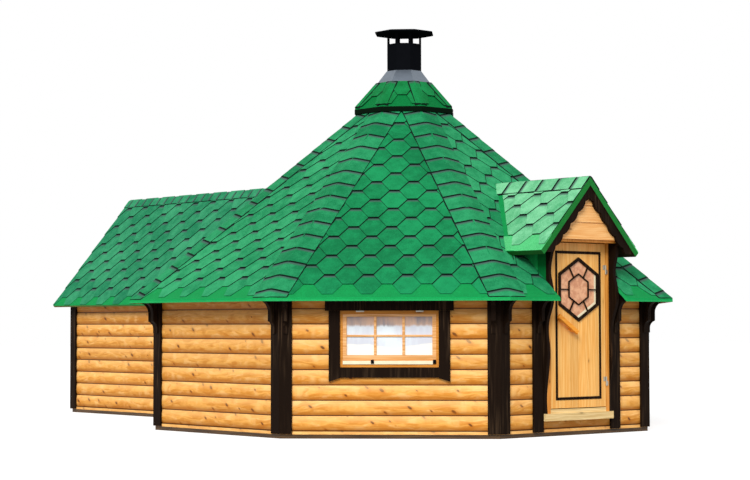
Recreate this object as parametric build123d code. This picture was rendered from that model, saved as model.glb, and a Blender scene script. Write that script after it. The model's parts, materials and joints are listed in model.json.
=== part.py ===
"""Eight-sided barbecue hut with log walls, a dormer over its door and an annex behind.

The hut stands on level ground at z = 0, with its origin under the chimney. The door faces -Y
and the annex runs out along +Y. The building is the same on both sides of the plane x = 0,
apart from the door's handle and hinges. Every piece of one wall is drawn on the front side,
which faces -Y, and then turned about the Z axis to the side that it belongs to.
"""
from build123d import *
import os
from math import cos, sin, tan, radians, floor

# Plan of the eight-sided cabin
SIDE = 1900.0                 # outside length of one wall
HALF_TURN = 22.5              # half the angle that one wall takes, in degrees
WALL = 45.0                   # thickness of the logs
SEAM = 0.4                    # saw cut between pieces that lie side by side

# Base and floor
BEAM_H = 36.0
BEAM_W = 95.0
JOIST_W = 45.0
JOIST_STEP = 590.0
FLOOR_T = 28.0

# Log courses
LOG_H = 132.0
LOG_GROOVE = 14.0             # depth of the groove between two logs
COURSES = 10

# Main roof
EAVE_OUT = 231.5              # overhang of the eave beyond the wall
EAVE_EDGE = 17.0              # height of the upright cut at the eave
ROOF_PITCH = 41.2
ROOF_T = 24.0
ROOF_SEAT = 10.2              # how far the last course is cut down under the roof, at its face
CROWN_APOTHEM = 360.0         # the smoke opening at the top

# Corner boards and the brackets under the eaves, with heights below the eave's top edge
BOARD_T = 20.0
BOARD_W = 105.0
BOARD_FOOT = 40.0
BRACKET_T = 40.0
BRACKET_H = 298.0
BRACKET_LIP = 11.0
BRACKET_LIP_H = 43.0
BRACKET_MID = 58.0
BRACKET_MID_DEEP = 188.0
BRACKET_MID_SHALLOW = 103.0
BRACKET_REACH = 116.0
BRACKET_NOSE = 18.0
BRACKET_COVE = 13.0           # depth of the two hollow curves

# Windows, on the two walls beside the door wall
WIN_HALF = 430.0              # half width of the hole in the logs
SILL_COURSES = 4              # courses below the window
WINDOW_COURSES = 4            # courses beside it
WIN_FIT = 0.5
WIN_FRAME_W = 25.5
WIN_SILL_H = 85.5             # height of the frame's low bar
WIN_HEAD_H = 43.5             # height of the frame's top bar
SASH_GAP = 0.3
SASH_W = 33.0
SASH_LOW_W = 42.0
SASH_TOP_W = 23.0
SASH_T = 36.0
SASH_BACK = 4.0               # how far the sash lies behind the frame's face
PANE_T = 4.0
TRIM_T = 22.0
TRIM_W = 98.0
TRIM_LAP = 3.0                # lap of the upright trim over the window frame
TRIM_HEAD_LAP = 16.0          # lap of the head board over the window frame
TRIM_HEAD_W = 136.0
TRIM_HEAD_END = 127.0         # how far the head board runs past the hole
TRIM_FOOT = 101.0             # how far the upright trim runs below the hole
TRIM_CHAMFER = 31.0
TRIM_SILL_LAP = 23.0
TRIM_SILL_W = 89.0

# Door
LEAF_W = 704.0
LEAF_H = 1462.0
LEAF_T = 40.0
LEAF_OUT = 30.0               # how far the leaf's face stands in front of the logs
DOOR_GAP = 5.0
DOOR_END_GAP = 7.0            # gap above and below the leaf
POST_W = 43.0
STOP_W = 25.0
STOP_GAP = 6.0
HEAD_H = 40.0
SILL_RAIL_H = 36.0
THRESHOLD_TOP = 200.0
THRESHOLD_H = 65.0
THRESHOLD_OUT = 50.0
CHEEK_T = 35.0
PLANK_W = 120.0
CHEEK_EDGE = [                # share of the cheek's height, and how far its edge stands out
    (0, 35), (0.196, 45), (0.378, 70), (0.456, 56), (0.534, 66),
    (0.651, 124), (0.730, 112), (0.814, 86), (0.912, 116),
]
MOULD_SIDE = 60.0             # from the leaf's edge to the dark moulding
MOULD_END = 72.0
MOULD_W = 24.0
MOULD_T = 4.0
HEX_DOWN = 412.5              # from the leaf's top to the hexagon's centre
HEX_HALF_W = 256.0
HEX_HALF_H = 286.5
HEX_SHOULDER = 140.5
HEX_BAR = 27.0
HEX_INNER = 0.5               # size of the inner hexagon against the outer one
HEX_LEAD = 10.0               # thin bars of the inner hexagon and the spokes
HEX_PROUD = 12.0
HEX_PANE_T = 4.0
HINGE_R = 6.5
HINGE_OUT = 7.0               # from the leaf's face to the hinge axis
HINGE_PIN_R = 3.0
HINGE_PIN_GAP = 0.1
HINGE_RISE = 30.0
HINGE_H = 81.0
HINGE_UP = 187.0              # from the leaf's foot to the low hinge
HINGE_DOWN = 191.0            # from the leaf's top to the high hinge
HINGE_PLATE_T = 2.5
HINGE_PLATE_W = 30.0
HINGE_SEAT = 0.3
HANDLE_W = 38.0
HANDLE_T = 24.0
HANDLE_GRIP = 30.0            # room for fingers behind the handle
HANDLE_EDGE = 4.0             # rounding of its front edges
HANDLE_IN = 63.0              # from the leaf's edge to the handle's high end
HANDLE_RUN = 236.0
HANDLE_HIGH = 51.0            # from the hexagon's lowest point up to the handle's high end
HANDLE_FALL = 148.0
HANDLE_FOOT = 40.0            # length of its two feet along it
HANDLE_FOOT_IN = 40.0         # from its ends to the feet, past the moulding

# Dormer over the door
DORMER_REACH = 189.5          # how far its roof stands in front of the logs
DORMER_RISE = 583.0           # from the leaf's top to the dormer's ridge
DORMER_HALF = 627.0
DORMER_PITCH = 46.6
DORMER_T = 50.0
GABLE_T = 20.0
GABLE_THIN = 12.0             # thickness of each lapped board at its upper edge
GABLE_STEP = 152.0
GABLE_UP = 23.0               # from the underside of the door's head to the gable boards
BARGE_T = 28.0
BARGE_BACK = 10.0             # from the roof's front edge to the bargeboard's face
BARGE_W = 80.0
BARGE_NOTCH = 20.0
BARGE_STEP = 140.0
BARGE_TAIL = 13.0             # from the eave's top edge down to the bargeboard's level cut

# Annex
ANNEX_STEP = 57.0             # from the cabin's corner to the annex wall
ANNEX_LENGTH = 2365.0
ANNEX_EAVE_OUT = 141.0
ANNEX_PITCH = 50.0
ANNEX_SEAT = 53.6             # how far its last course is cut down under its roof, at its face
ANNEX_END_OUT = 192.0
ANNEX_BOARD_W = 85.0

# Smoke cap and chimney
CAP_APOTHEM = 476.0
CAP_LIFT = 38.2               # from the roof boards up to the cap's lower edge
CAP_EDGE = 45.0
CAP_EDGE_T = 24.0
CAP_PITCH = 50.9
CAP_NECK = 248.0
CAP_T = 24.0
CURB_T = 45.0
CURB_HANG = 46.3              # how far the curb hangs below the roof boards
SKIRT_FOOT = 256.0
SKIRT_T = 4.0
SKIRT_H = 120.3
STACK_APOTHEM = 164.0
STACK_T = 3.0
STACK_TAIL = 50.7             # how far the stack reaches below the skirt
STACK_SHOWN = 266.0
STUB = 14.0
STUB_H = 63.0
LID_APOTHEM = 280.0
LID_EDGE = 42.0
LID_CROWN = 48.0
LID_FLAT = 60.0               # apothem of the flat at the lid's top

# Sizes that follow from those above
HALF_TAN = tan(radians(HALF_TURN))
HALF_COS = cos(radians(HALF_TURN))
AP = SIDE / 2 / HALF_TAN                    # from the centre to a wall's outer face
AP_IN = AP - WALL
AP_EAVE = AP + EAVE_OUT
RAIL_TOP = BEAM_H + FLOOR_T
WALL_TOP = RAIL_TOP + COURSES * LOG_H
ROOF_TAN = tan(radians(ROOF_PITCH))
ROOF_DROP = ROOF_T / cos(radians(ROOF_PITCH))
EAVE_TOP = WALL_TOP - ROOF_SEAT - EAVE_OUT * ROOF_TAN + ROOF_DROP
WIN_LOW = RAIL_TOP + SILL_COURSES * LOG_H
WIN_TOP = WIN_LOW + WINDOW_COURSES * LOG_H
WIN_OPEN_LOW = WIN_LOW + WIN_FIT + WIN_SILL_H
WIN_OPEN_TOP = WIN_TOP - WIN_FIT - WIN_HEAD_H
LEAF_HALF = LEAF_W / 2
LEAF_LOW = THRESHOLD_TOP + SILL_RAIL_H + DOOR_END_GAP
LEAF_TOP = LEAF_LOW + LEAF_H
LEAF_FACE = AP + LEAF_OUT
HEAD_LOW = LEAF_TOP + DOOR_END_GAP
POST_IN = LEAF_HALF + DOOR_GAP
POST_OUT = POST_IN + POST_W
CHEEK_OUT = POST_OUT + CHEEK_T
PLANK_OUT = CHEEK_OUT + PLANK_W
STOP_FACE = LEAF_FACE - LEAF_T - STOP_GAP
HEX_Z = LEAF_TOP - HEX_DOWN
HINGE_X = LEAF_HALF + DOOR_GAP / 2
HINGE_Y = -(LEAF_FACE + HINGE_OUT)
DORMER_TAN = tan(radians(DORMER_PITCH))
DORMER_RIDGE = LEAF_TOP + DORMER_RISE
DORMER_UNDER = DORMER_RIDGE - DORMER_T / cos(radians(DORMER_PITCH))
DORMER_FRONT = AP + DORMER_REACH
BARGE_FACE = DORMER_FRONT - BARGE_BACK
GABLE_LOW = HEAD_LOW + GABLE_UP
GABLE_FACE = BARGE_FACE - BARGE_T
GABLE_BACK = GABLE_FACE - GABLE_T
ANNEX_HALF = SIDE / 2 - ANNEX_STEP
ANNEX_IN = ANNEX_HALF - WALL
ANNEX_END = AP + ANNEX_LENGTH
ANNEX_TAN = tan(radians(ANNEX_PITCH))
ANNEX_UNDER = WALL_TOP - ANNEX_SEAT + ANNEX_HALF * ANNEX_TAN
ANNEX_RIDGE = ANNEX_UNDER + ROOF_T / cos(radians(ANNEX_PITCH))
ANNEX_EAVE_HALF = ANNEX_HALF + ANNEX_EAVE_OUT
ANNEX_ROOF_END = ANNEX_END + ANNEX_END_OUT
CAP_TAN = tan(radians(CAP_PITCH))
CAP_DROP = CAP_T / cos(radians(CAP_PITCH))
CAP_LOW = EAVE_TOP + (AP_EAVE - CAP_APOTHEM) * ROOF_TAN + CAP_LIFT
SKIRT_LOW = CAP_LOW + CAP_EDGE + (CAP_APOTHEM - SKIRT_FOOT) * CAP_TAN
SKIRT_TOP = SKIRT_LOW + SKIRT_H
STACK_TOP = SKIRT_TOP + STACK_SHOWN
LID_LOW = STACK_TOP + STUB_H

FAR = 6000.0                  # past the building's edge, for cutting shapes
SIDES = {
    "front": -90,
    "front_right": -45,
    "right": 0,
    "back_right": 45,
    "back": 90,
    "back_left": 135,
    "left": 180,
    "front_left": -135,
}


def turned(shape, side):
    """Turn a shape from the front side to another side of the eight."""
    return Rot(0, 0, SIDES[side] + 90) * shape


def box(x0, x1, y0, y1, z0, z1):
    """A block between two corners."""
    return Pos((x0 + x1) / 2, (y0 + y1) / 2, (z0 + z1) / 2) * Box(x1 - x0, y1 - y0, z1 - z0)


def mirrored(shape):
    """The same shape on the other side of the plane x = 0."""
    return mirror(shape, about=Plane.YZ)


def both(shape):
    """A shape and its mirror image, as a list of two."""
    return [shape, mirrored(shape)]


def outlined(lines):
    """The flat face inside a closed run of lines and curves."""
    return make_face(Wire([edge for line in lines for edge in line.edges()]))


def prism_x(points, x0, x1):
    """An outline in the Y-Z plane, drawn out from x0 to x1."""
    face = make_face(Polyline([(0, y, z) for y, z in points], close=True))
    return Pos(x0, 0, 0) * extrude(face, amount=x1 - x0, dir=(1, 0, 0))


def prism_y(points, y0, y1):
    """An outline in the X-Z plane, drawn out from y0 to y1."""
    face = make_face(Polyline([(x, 0, z) for x, z in points], close=True))
    return Pos(0, y0, 0) * extrude(face, amount=y1 - y0, dir=(0, 1, 0))


def prism_z(points, z0, z1):
    """An outline in the X-Y plane, drawn out from z0 to z1."""
    face = make_face(Polyline([(x, y, 0) for x, y in points], close=True))
    return Pos(0, 0, z0) * extrude(face, amount=z1 - z0, dir=(0, 0, 1))


def wedge(gap=0.0):
    """The eighth of the plan that belongs to the front side."""
    reach = FAR * HALF_TAN
    tip = gap / sin(radians(HALF_TURN))
    return Pos(0, -tip, 0) * prism_z([(0, 0), (-reach, -FAR), (reach, -FAR)], -1, FAR)


def octagon(apothem, z0, z1):
    """An upright eight-sided block with its sides square to the walls."""
    radius = apothem / HALF_COS
    corners = [
        (radius * cos(radians(HALF_TURN + 45 * k)), radius * sin(radians(HALF_TURN + 45 * k)))
        for k in range(8)
    ]
    return prism_z(corners, z0, z1)


def roof_top(r):
    """Height of the main roof's top face at a distance r from the centre."""
    return EAVE_TOP + (AP_EAVE - r) * ROOF_TAN


def roof_under(r):
    """Height of the main roof's underside at a distance r from the centre."""
    return roof_top(r) - ROOF_DROP


def below_main_roof():
    """All that lies below the front roof panel's underside."""
    points = [(-FAR, -FAR), (0, -FAR), (0, roof_under(0)), (-FAR, roof_under(FAR))]
    return prism_x(points, -FAR, FAR)


def above_main_roof(height):
    """All that lies above a plane with the main roof's pitch, on the front side."""
    points = [(-FAR, height(FAR)), (0, height(0)), (0, 2 * FAR), (-FAR, 2 * FAR)]
    return prism_x(points, -FAR, FAR)


def below_gable(under, slope):
    """All that lies below the two undersides of a gabled roof with its ridge along Y."""
    low = under - FAR * slope
    return prism_y([(-FAR, low), (0, under), (FAR, low)], -FAR, FAR)


def cut_list(shape):
    """The separate solids of a shape."""
    return list(shape.solids())


def log_section(courses, y_out, rail_low, first_log):
    """Section of a log wall whose outer face is at -y_out: a flat rail with round logs on it."""
    groove = -(y_out - LOG_GROOVE)
    inner = -(y_out - WALL)
    lines = []
    if first_log > rail_low:
        lines.append(Line((0, inner, rail_low), (0, -y_out, rail_low)))
        lines.append(Line((0, -y_out, rail_low), (0, -y_out, first_log)))
        lines.append(Line((0, -y_out, first_log), (0, groove, first_log)))
    else:
        lines.append(Line((0, inner, first_log), (0, groove, first_log)))
    for k in range(courses):
        low = first_log + k * LOG_H
        top = low + LOG_H
        crown = (0, -y_out, (low + top) / 2)
        lines.append(ThreePointArc((0, groove, low), crown, (0, groove, top)))
    top = first_log + courses * LOG_H
    lines.append(Line((0, groove, top), (0, inner, top)))
    lines.append(Line((0, inner, top), (0, inner, min(rail_low, first_log))))
    return outlined(lines)


def log_wall(x0, x1, y_out, courses=COURSES, start=0, rail=True):
    """A stretch of log wall between x0 and x1, from the course called start upwards."""
    first = RAIL_TOP + start * LOG_H
    low = BEAM_H if rail else first
    face = log_section(courses, y_out, low, first)
    return Pos(x0, 0, 0) * extrude(face, amount=x1 - x0, dir=(1, 0, 0))


def base_beams():
    """Bearers on the ground under every wall."""
    beam = box(-FAR, FAR, -AP, -(AP - BEAM_W), 0, BEAM_H) & wedge(SEAM / 2)
    parts = [turned(beam, side) for side in SIDES]
    side_beam = box(ANNEX_HALF - BEAM_W, ANNEX_HALF, AP + SEAM, ANNEX_END - BEAM_W - SEAM, 0, BEAM_H)
    parts += both(side_beam)
    parts.append(box(-ANNEX_HALF, ANNEX_HALF, ANNEX_END - BEAM_W, ANNEX_END, 0, BEAM_H))
    return parts


def floor_joists():
    """Joists on the ground between the bearers. The middle one lies under the origin."""
    room = octagon(AP - BEAM_W - SEAM, 0, BEAM_H)
    count = floor((AP - BEAM_W - JOIST_W) / JOIST_STEP)
    parts = []
    for k in range(-count, count + 1):
        x = k * JOIST_STEP
        joist = box(x - JOIST_W / 2, x + JOIST_W / 2, -AP, AP, 0, BEAM_H) & room
        parts += cut_list(joist)
    reach = ANNEX_HALF - BEAM_W - SEAM
    annex_count = floor(ANNEX_LENGTH / JOIST_STEP) - 1
    step = ANNEX_LENGTH / (annex_count + 1)
    for k in range(1, annex_count + 1):
        y = AP + k * step
        parts.append(box(-reach, reach, y - JOIST_W / 2, y + JOIST_W / 2, 0, BEAM_H))
    return parts


def floor_panels():
    """Board floors of the cabin and the annex, inside the walls."""
    cabin = octagon(AP_IN - SEAM, BEAM_H, RAIL_TOP)
    annex = box(-ANNEX_IN + SEAM, ANNEX_IN - SEAM, AP_IN, ANNEX_END - WALL - SEAM, BEAM_H, RAIL_TOP)
    return [cabin, annex]


def plain_wall():
    """A full log wall of the cabin, mitred at both corners and bevelled under the roof."""
    return log_wall(-SIDE, SIDE, AP) & wedge() & below_main_roof()


def window_wall():
    """A log wall with a hole for the window, as the logs below, beside and above it."""
    below = log_wall(-SIDE, SIDE, AP, courses=SILL_COURSES) & wedge()
    below -= box(-FAR, FAR, -FAR, 0, WIN_LOW - SEAM, FAR)
    beside = log_wall(WIN_HALF, SIDE, AP, WINDOW_COURSES, SILL_COURSES, rail=False) & wedge()
    top_start = SILL_COURSES + WINDOW_COURSES
    above = log_wall(-SIDE, SIDE, AP, COURSES - top_start, top_start, rail=False) & wedge()
    above -= box(-FAR, FAR, -FAR, 0, 0, WIN_TOP + SEAM)
    above = above & below_main_roof()
    return [below, above] + both(beside)


def front_walls():
    """The log walls left and right of the door."""
    wall = log_wall(CHEEK_OUT, SIDE, AP) & wedge() & below_main_roof()
    return both(wall)


def wall_below_door():
    """The rail and the cut first log under the threshold."""
    wall = log_wall(-CHEEK_OUT, CHEEK_OUT, AP, courses=1)
    return [wall & box(-FAR, FAR, -FAR, 0, 0, THRESHOLD_TOP - THRESHOLD_H)]


def passage_posts():
    """Posts between the cabin's back corners and the annex walls."""
    corner = (SIDE / 2, AP)
    inside = (AP_IN * HALF_TAN, AP_IN)
    outline = [corner, (ANNEX_IN, AP), (ANNEX_IN, AP_IN), inside]
    post = prism_z(outline, BEAM_H, FAR / 2) & turned(below_main_roof(), "back")
    return both(post)


def annex_side_walls():
    """Log walls along the annex, bevelled under its roof."""
    wall = log_wall(AP, ANNEX_END - WALL, ANNEX_HALF)
    wall = Rot(0, 0, 90) * wall
    wall = wall & below_gable(ANNEX_UNDER, ANNEX_TAN)
    return both(wall)


def annex_end_wall():
    """The log wall at the annex's far end, up to the foot of its gable."""
    wall = Rot(0, 0, 180) * log_wall(-ANNEX_HALF, ANNEX_HALF, ANNEX_END)
    return [wall & below_gable(ANNEX_UNDER, ANNEX_TAN)]


def lapped_boards(low, under, slope, face_y):
    """A gable of lapped boards, facing -Y with its face at -face_y."""
    back = -(face_y - GABLE_T)
    points = [(back, low)]
    count = floor((under - low) / GABLE_STEP) + 1
    for k in range(count):
        z = low + k * GABLE_STEP
        points.append((-face_y, z))
        points.append((-(face_y - GABLE_T + GABLE_THIN), z + GABLE_STEP))
    points.append((back, low + count * GABLE_STEP))
    return prism_x(points, -FAR, FAR) & below_gable(under, slope)


def gable_boards():
    """The gables over the door and at the annex's end."""
    dormer = lapped_boards(GABLE_LOW, DORMER_UNDER, DORMER_TAN, GABLE_FACE)
    annex = Rot(0, 0, 180) * lapped_boards(WALL_TOP, ANNEX_UNDER, ANNEX_TAN, ANNEX_END)
    return [dormer, annex]


def corner_board(width):
    """A board on the front wall's right end, up to the mitre plane of the corner."""
    start = SIDE / 2 - width
    board = box(start, FAR, -(AP + BOARD_T), -AP, BOARD_FOOT, FAR / 2)
    return board & wedge() & below_main_roof()


def corner_boards():
    """Pairs of dark boards around the eight corners, and around the annex's two far ones."""
    names = list(SIDES)
    wide = corner_board(BOARD_W)
    narrow = corner_board(SIDE / 2 - ANNEX_HALF)
    parts = []
    for k, side in enumerate(names):
        following = names[(k + 1) % len(names)]
        right_end = narrow if side == "back" else wide
        left_end = mirrored(narrow if following == "back" else wide)
        parts.append(turned(right_end, side) + turned(left_end, following))
    face = ANNEX_END + BOARD_T
    side_face = ANNEX_HALF + BOARD_T
    annex_corner = box(ANNEX_HALF, side_face, ANNEX_END - ANNEX_BOARD_W, face, BOARD_FOOT, FAR / 2)
    annex_corner += box(ANNEX_HALF - ANNEX_BOARD_W, side_face, ANNEX_END, face, BOARD_FOOT, FAR / 2)
    parts += both(annex_corner & below_gable(ANNEX_UNDER, ANNEX_TAN))
    return parts


def cove(start, end, depth):
    """A hollow curve between two points of a bracket's edge, given as (out, z)."""
    dx = end[0] - start[0]
    dz = end[1] - start[1]
    length = (dx ** 2 + dz ** 2) ** 0.5
    x = (start[0] + end[0]) / 2 - dz / length * depth
    z = (start[1] + end[1]) / 2 + dx / length * depth
    return [start, (x, z), end]


def bracket(x, face_y):
    """A carved bracket on a board of the front wall, centred at x, up to the eave."""
    foot = EAVE_TOP - BRACKET_H
    lip = [(0, foot), (BRACKET_LIP, foot)]
    lower = cove(
        (BRACKET_LIP, foot + BRACKET_LIP_H), (BRACKET_MID, EAVE_TOP - BRACKET_MID_DEEP), BRACKET_COVE
    )
    upper = cove(
        (BRACKET_MID, EAVE_TOP - BRACKET_MID_SHALLOW), (BRACKET_REACH, EAVE_TOP - BRACKET_NOSE),
        BRACKET_COVE,
    )
    top = [(BRACKET_REACH, 2 * EAVE_TOP), (0, 2 * EAVE_TOP)]

    def place(points):
        return [(0, -(face_y + out), z) for out, z in points]

    edges = [
        Polyline(*place(lip + lower[:1])), ThreePointArc(*place(lower)),
        Line(*place([lower[2], upper[0]])), ThreePointArc(*place(upper)),
        Polyline(*place(upper[2:] + top + lip[:1])),
    ]
    face = outlined(edges)
    piece = Pos(x - BRACKET_T / 2, 0, 0) * extrude(face, amount=BRACKET_T, dir=(1, 0, 0))
    return piece & below_main_roof()


def eave_brackets():
    """Brackets on every corner board and on the two planks beside the door."""
    x = SIDE / 2 - BOARD_W / 2
    right = bracket(x, AP + BOARD_T)
    left = mirrored(right)
    parts = []
    for side in SIDES:
        if side == "back":
            continue
        parts += [turned(right, side), turned(left, side)]
    parts += both(bracket((CHEEK_OUT + PLANK_OUT) / 2, AP + TRIM_T))
    return parts


def door_planks():
    """Flat dark planks on the wall beside the door."""
    plank = box(CHEEK_OUT, PLANK_OUT, -(AP + TRIM_T), -AP, BOARD_FOOT, FAR / 2)
    return both(plank & below_main_roof())


def door_cheeks():
    """Wavy-edged planks square to the wall, which flank the door and carry the dormer."""
    top = GABLE_BACK - AP
    height = GABLE_LOW - THRESHOLD_TOP
    points = [(0, -(AP + out), THRESHOLD_TOP + share * height) for share, out in CHEEK_EDGE]
    front = Spline(points + [(0, -(AP + top), GABLE_LOW)])
    peak = DORMER_RIDGE
    lines = [
        front,
        Line(front @ 1, (0, -(AP + top), peak)),
        Line((0, -(AP + top), peak), (0, -AP_IN, peak)),
        Line((0, -AP_IN, peak), (0, -AP_IN, THRESHOLD_TOP)),
        Line((0, -AP_IN, THRESHOLD_TOP), front @ 0),
    ]
    face = outlined(lines)
    plank = Pos(POST_OUT, 0, 0) * extrude(face, amount=CHEEK_T, dir=(1, 0, 0))
    return both(plank & below_gable(DORMER_UNDER, DORMER_TAN))


def door_frame_posts():
    """Posts of the door frame, each with the stop behind it that the leaf closes against."""
    post = box(POST_IN, POST_OUT, -LEAF_FACE, -STOP_FACE - SEAM, THRESHOLD_TOP, HEAD_LOW)
    stop = box(POST_IN - STOP_W, POST_OUT, -STOP_FACE, -AP_IN, THRESHOLD_TOP, HEAD_LOW)
    return both(post) + both(stop)


def door_head():
    """The head of the door frame, which reaches out to the gable boards."""
    return [box(-POST_OUT, POST_OUT, -GABLE_BACK, -AP_IN, HEAD_LOW, HEAD_LOW + HEAD_H)]


def door_threshold():
    """The step-over plank under the door, with the frame's low rail on it."""
    low = THRESHOLD_TOP - THRESHOLD_H
    step = box(-CHEEK_OUT, CHEEK_OUT, -(AP + THRESHOLD_OUT), -AP_IN, low, THRESHOLD_TOP)
    rail_top = THRESHOLD_TOP + SILL_RAIL_H
    half = POST_IN - STOP_W
    rail = box(-half, half, -STOP_FACE, -AP_IN, THRESHOLD_TOP, rail_top)
    rail += box(-POST_IN, POST_IN, -LEAF_FACE, -STOP_FACE, THRESHOLD_TOP, rail_top)
    return [step + rail]


def hexagon_outline(scale, inset=0.0):
    """Corners of the upright hexagon in the door, drawn in the X-Z plane."""
    half_w = HEX_HALF_W * scale - inset
    rise = HEX_HALF_H - HEX_SHOULDER
    slant = (HEX_HALF_W ** 2 + rise ** 2) ** 0.5
    half_h = HEX_HALF_H * scale - inset * slant / HEX_HALF_W
    shoulder = half_h - half_w * rise / HEX_HALF_W
    return [
        (half_w, HEX_Z - shoulder), (half_w, HEX_Z + shoulder), (0, HEX_Z + half_h),
        (-half_w, HEX_Z + shoulder), (-half_w, HEX_Z - shoulder), (0, HEX_Z - half_h),
    ]


def door_leaf():
    """The boarded door leaf with its six-sided hole."""
    leaf = box(-LEAF_HALF, LEAF_HALF, -LEAF_FACE, -(LEAF_FACE - LEAF_T), LEAF_LOW, LEAF_TOP)
    return [leaf - prism_y(hexagon_outline(1, HEX_BAR), -FAR, 0)]


def door_moulding():
    """The dark rectangle of flat moulding on the leaf's face."""
    half = LEAF_HALF - MOULD_SIDE
    low = LEAF_LOW + MOULD_END
    top = LEAF_TOP - MOULD_END
    ring = box(-half, half, -(LEAF_FACE + MOULD_T), -LEAF_FACE, low, top)
    inner = half - MOULD_W
    return [ring - box(-inner, inner, -FAR, 0, low + MOULD_W, top - MOULD_W)]


def door_hexagon():
    """The dark leaded frame in the door: a broad hexagon, six thin spokes and a thin hexagon."""
    front = -(LEAF_FACE + HEX_PROUD)
    ring = prism_y(hexagon_outline(1), front, -LEAF_FACE)
    ring -= prism_y(hexagon_outline(1, HEX_BAR), -FAR, 0)
    core = prism_y(hexagon_outline(HEX_INNER), front, -LEAF_FACE)
    core -= prism_y(hexagon_outline(HEX_INNER, HEX_LEAD), -FAR, 0)
    outer = hexagon_outline(1, HEX_BAR / 2)
    inner = hexagon_outline(HEX_INNER, HEX_LEAD / 2)
    spokes = []
    for k in range(6):
        a, b = outer[k], outer[(k + 1) % 6]
        c, d = inner[k], inner[(k + 1) % 6]
        far_end = ((a[0] + b[0]) / 2, (a[1] + b[1]) / 2)
        near_end = ((c[0] + d[0]) / 2, (c[1] + d[1]) / 2)
        spokes.append(bar_on_face(near_end, far_end, HEX_LEAD, front, -LEAF_FACE))
    shape = ring + core
    for spoke in spokes:
        shape += spoke
    return [shape]


def bar_on_face(start, end, width, y0, y1):
    """A straight flat bar between two points of the X-Z plane."""
    start = Vector(*start)
    end = Vector(*end)
    half = (end - start).normalized().rotate(Axis.Z, 90) * (width / 2)
    corners = [start + half, end + half, end - half, start - half]
    points = [(corner.X, corner.Y) for corner in corners]
    return prism_y(points, y0, y1)


def door_glass():
    """The pane behind the hexagon frame."""
    return [prism_y(hexagon_outline(1, HEX_BAR), -LEAF_FACE, -(LEAF_FACE - HEX_PANE_T))]


def door_handle():
    """A stout wooden bar set slantwise on two feet."""
    back = -LEAF_FACE
    front = back - HANDLE_GRIP - HANDLE_T
    high = Vector(HANDLE_IN - LEAF_HALF, HEX_Z - HEX_HALF_H + HANDLE_HIGH)
    run = Vector(HANDLE_RUN, -HANDLE_FALL)
    low = high + run
    inset = run * (HANDLE_FOOT_IN / run.length)
    foot = run * (HANDLE_FOOT / run.length)
    bar = bar_on_face(high, low, HANDLE_W, front, back - HANDLE_GRIP)
    bar += bar_on_face(high + inset, high + inset + foot, HANDLE_W, front, back)
    bar += bar_on_face(low - inset - foot, low - inset, HANDLE_W, front, back)
    face = bar.faces().sort_by(Axis.Y)[0]
    return [fillet(face.edges(), HANDLE_EDGE)]


def hinge_lows():
    """Heights of the lower ends of the two hinges."""
    return LEAF_LOW + HINGE_UP, LEAF_TOP - HINGE_DOWN - HINGE_H


def hinge_half(low, high, plate_from, plate_to):
    """A knuckle between two heights, with its plate on the face of the leaf or the post."""
    knuckle = Pos(HINGE_X, HINGE_Y, (low + high) / 2) * Cylinder(HINGE_R, high - low)
    plate = box(plate_from, plate_to, -(LEAF_FACE + HINGE_PLATE_T), -LEAF_FACE, low, high)
    return knuckle + plate


def leaf_hinges():
    """The upper half of each lift-off hinge, on the leaf, bored for its pin."""
    parts = []
    for low in hinge_lows():
        middle = low + HINGE_H / 2
        edge = HINGE_X - 1
        half = hinge_half(middle + HINGE_SEAT, low + HINGE_H, edge - HINGE_PLATE_W, edge)
        bore = Pos(HINGE_X, HINGE_Y, middle) * Cylinder(
            HINGE_PIN_R + HINGE_PIN_GAP, 2 * (HINGE_RISE + HINGE_SEAT)
        )
        parts.append(half - bore)
    return parts


def frame_hinges():
    """The lower half of each hinge, on the post, with the pin that carries the leaf."""
    parts = []
    for low in hinge_lows():
        middle = low + HINGE_H / 2
        edge = HINGE_X + 1
        half = hinge_half(low, middle, edge, edge + HINGE_PLATE_W)
        pin = Pos(HINGE_X, HINGE_Y, middle + HINGE_RISE / 2) * Cylinder(HINGE_PIN_R, HINGE_RISE)
        parts.append(half + pin)
    return parts


def window_rings(half_w, low, top, bars, y0, y1):
    """A rectangular ring: its outline, and the widths of its side, low and top bars."""
    side, low_bar, top_bar = bars
    ring = box(-half_w, half_w, y0, y1, low, top)
    return ring - box(-half_w + side, half_w - side, -FAR, 0, low + low_bar, top - top_bar)


def sash_box():
    """Half width, low edge and top edge of the window sash."""
    half = WIN_HALF - WIN_FIT - WIN_FRAME_W - SASH_GAP
    return half, WIN_OPEN_LOW + SASH_GAP, WIN_OPEN_TOP - SASH_GAP


def window_frames():
    """The frame in each window hole."""
    low = WIN_LOW + WIN_FIT
    top = WIN_TOP - WIN_FIT
    bars = (WIN_FRAME_W, WIN_SILL_H, WIN_HEAD_H)
    ring = window_rings(WIN_HALF - WIN_FIT, low, top, bars, -AP, -AP_IN)
    return [turned(ring, "front_left"), turned(ring, "front_right")]


def window_sashes():
    """The opening sash of each window, shut."""
    half, low, top = sash_box()
    face = AP - SASH_BACK
    bars = (SASH_W, SASH_LOW_W, SASH_TOP_W)
    ring = window_rings(half, low, top, bars, -face, -(face - SASH_T))
    return [turned(ring, "front_left"), turned(ring, "front_right")]


def window_glass():
    """The pane of each window."""
    half, low, top = sash_box()
    middle = AP - SASH_BACK - SASH_T / 2
    pane = box(
        -half + SASH_W, half - SASH_W, -middle - PANE_T / 2, -middle + PANE_T / 2,
        low + SASH_LOW_W, top - SASH_TOP_W,
    )
    return [turned(pane, "front_left"), turned(pane, "front_right")]


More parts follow.
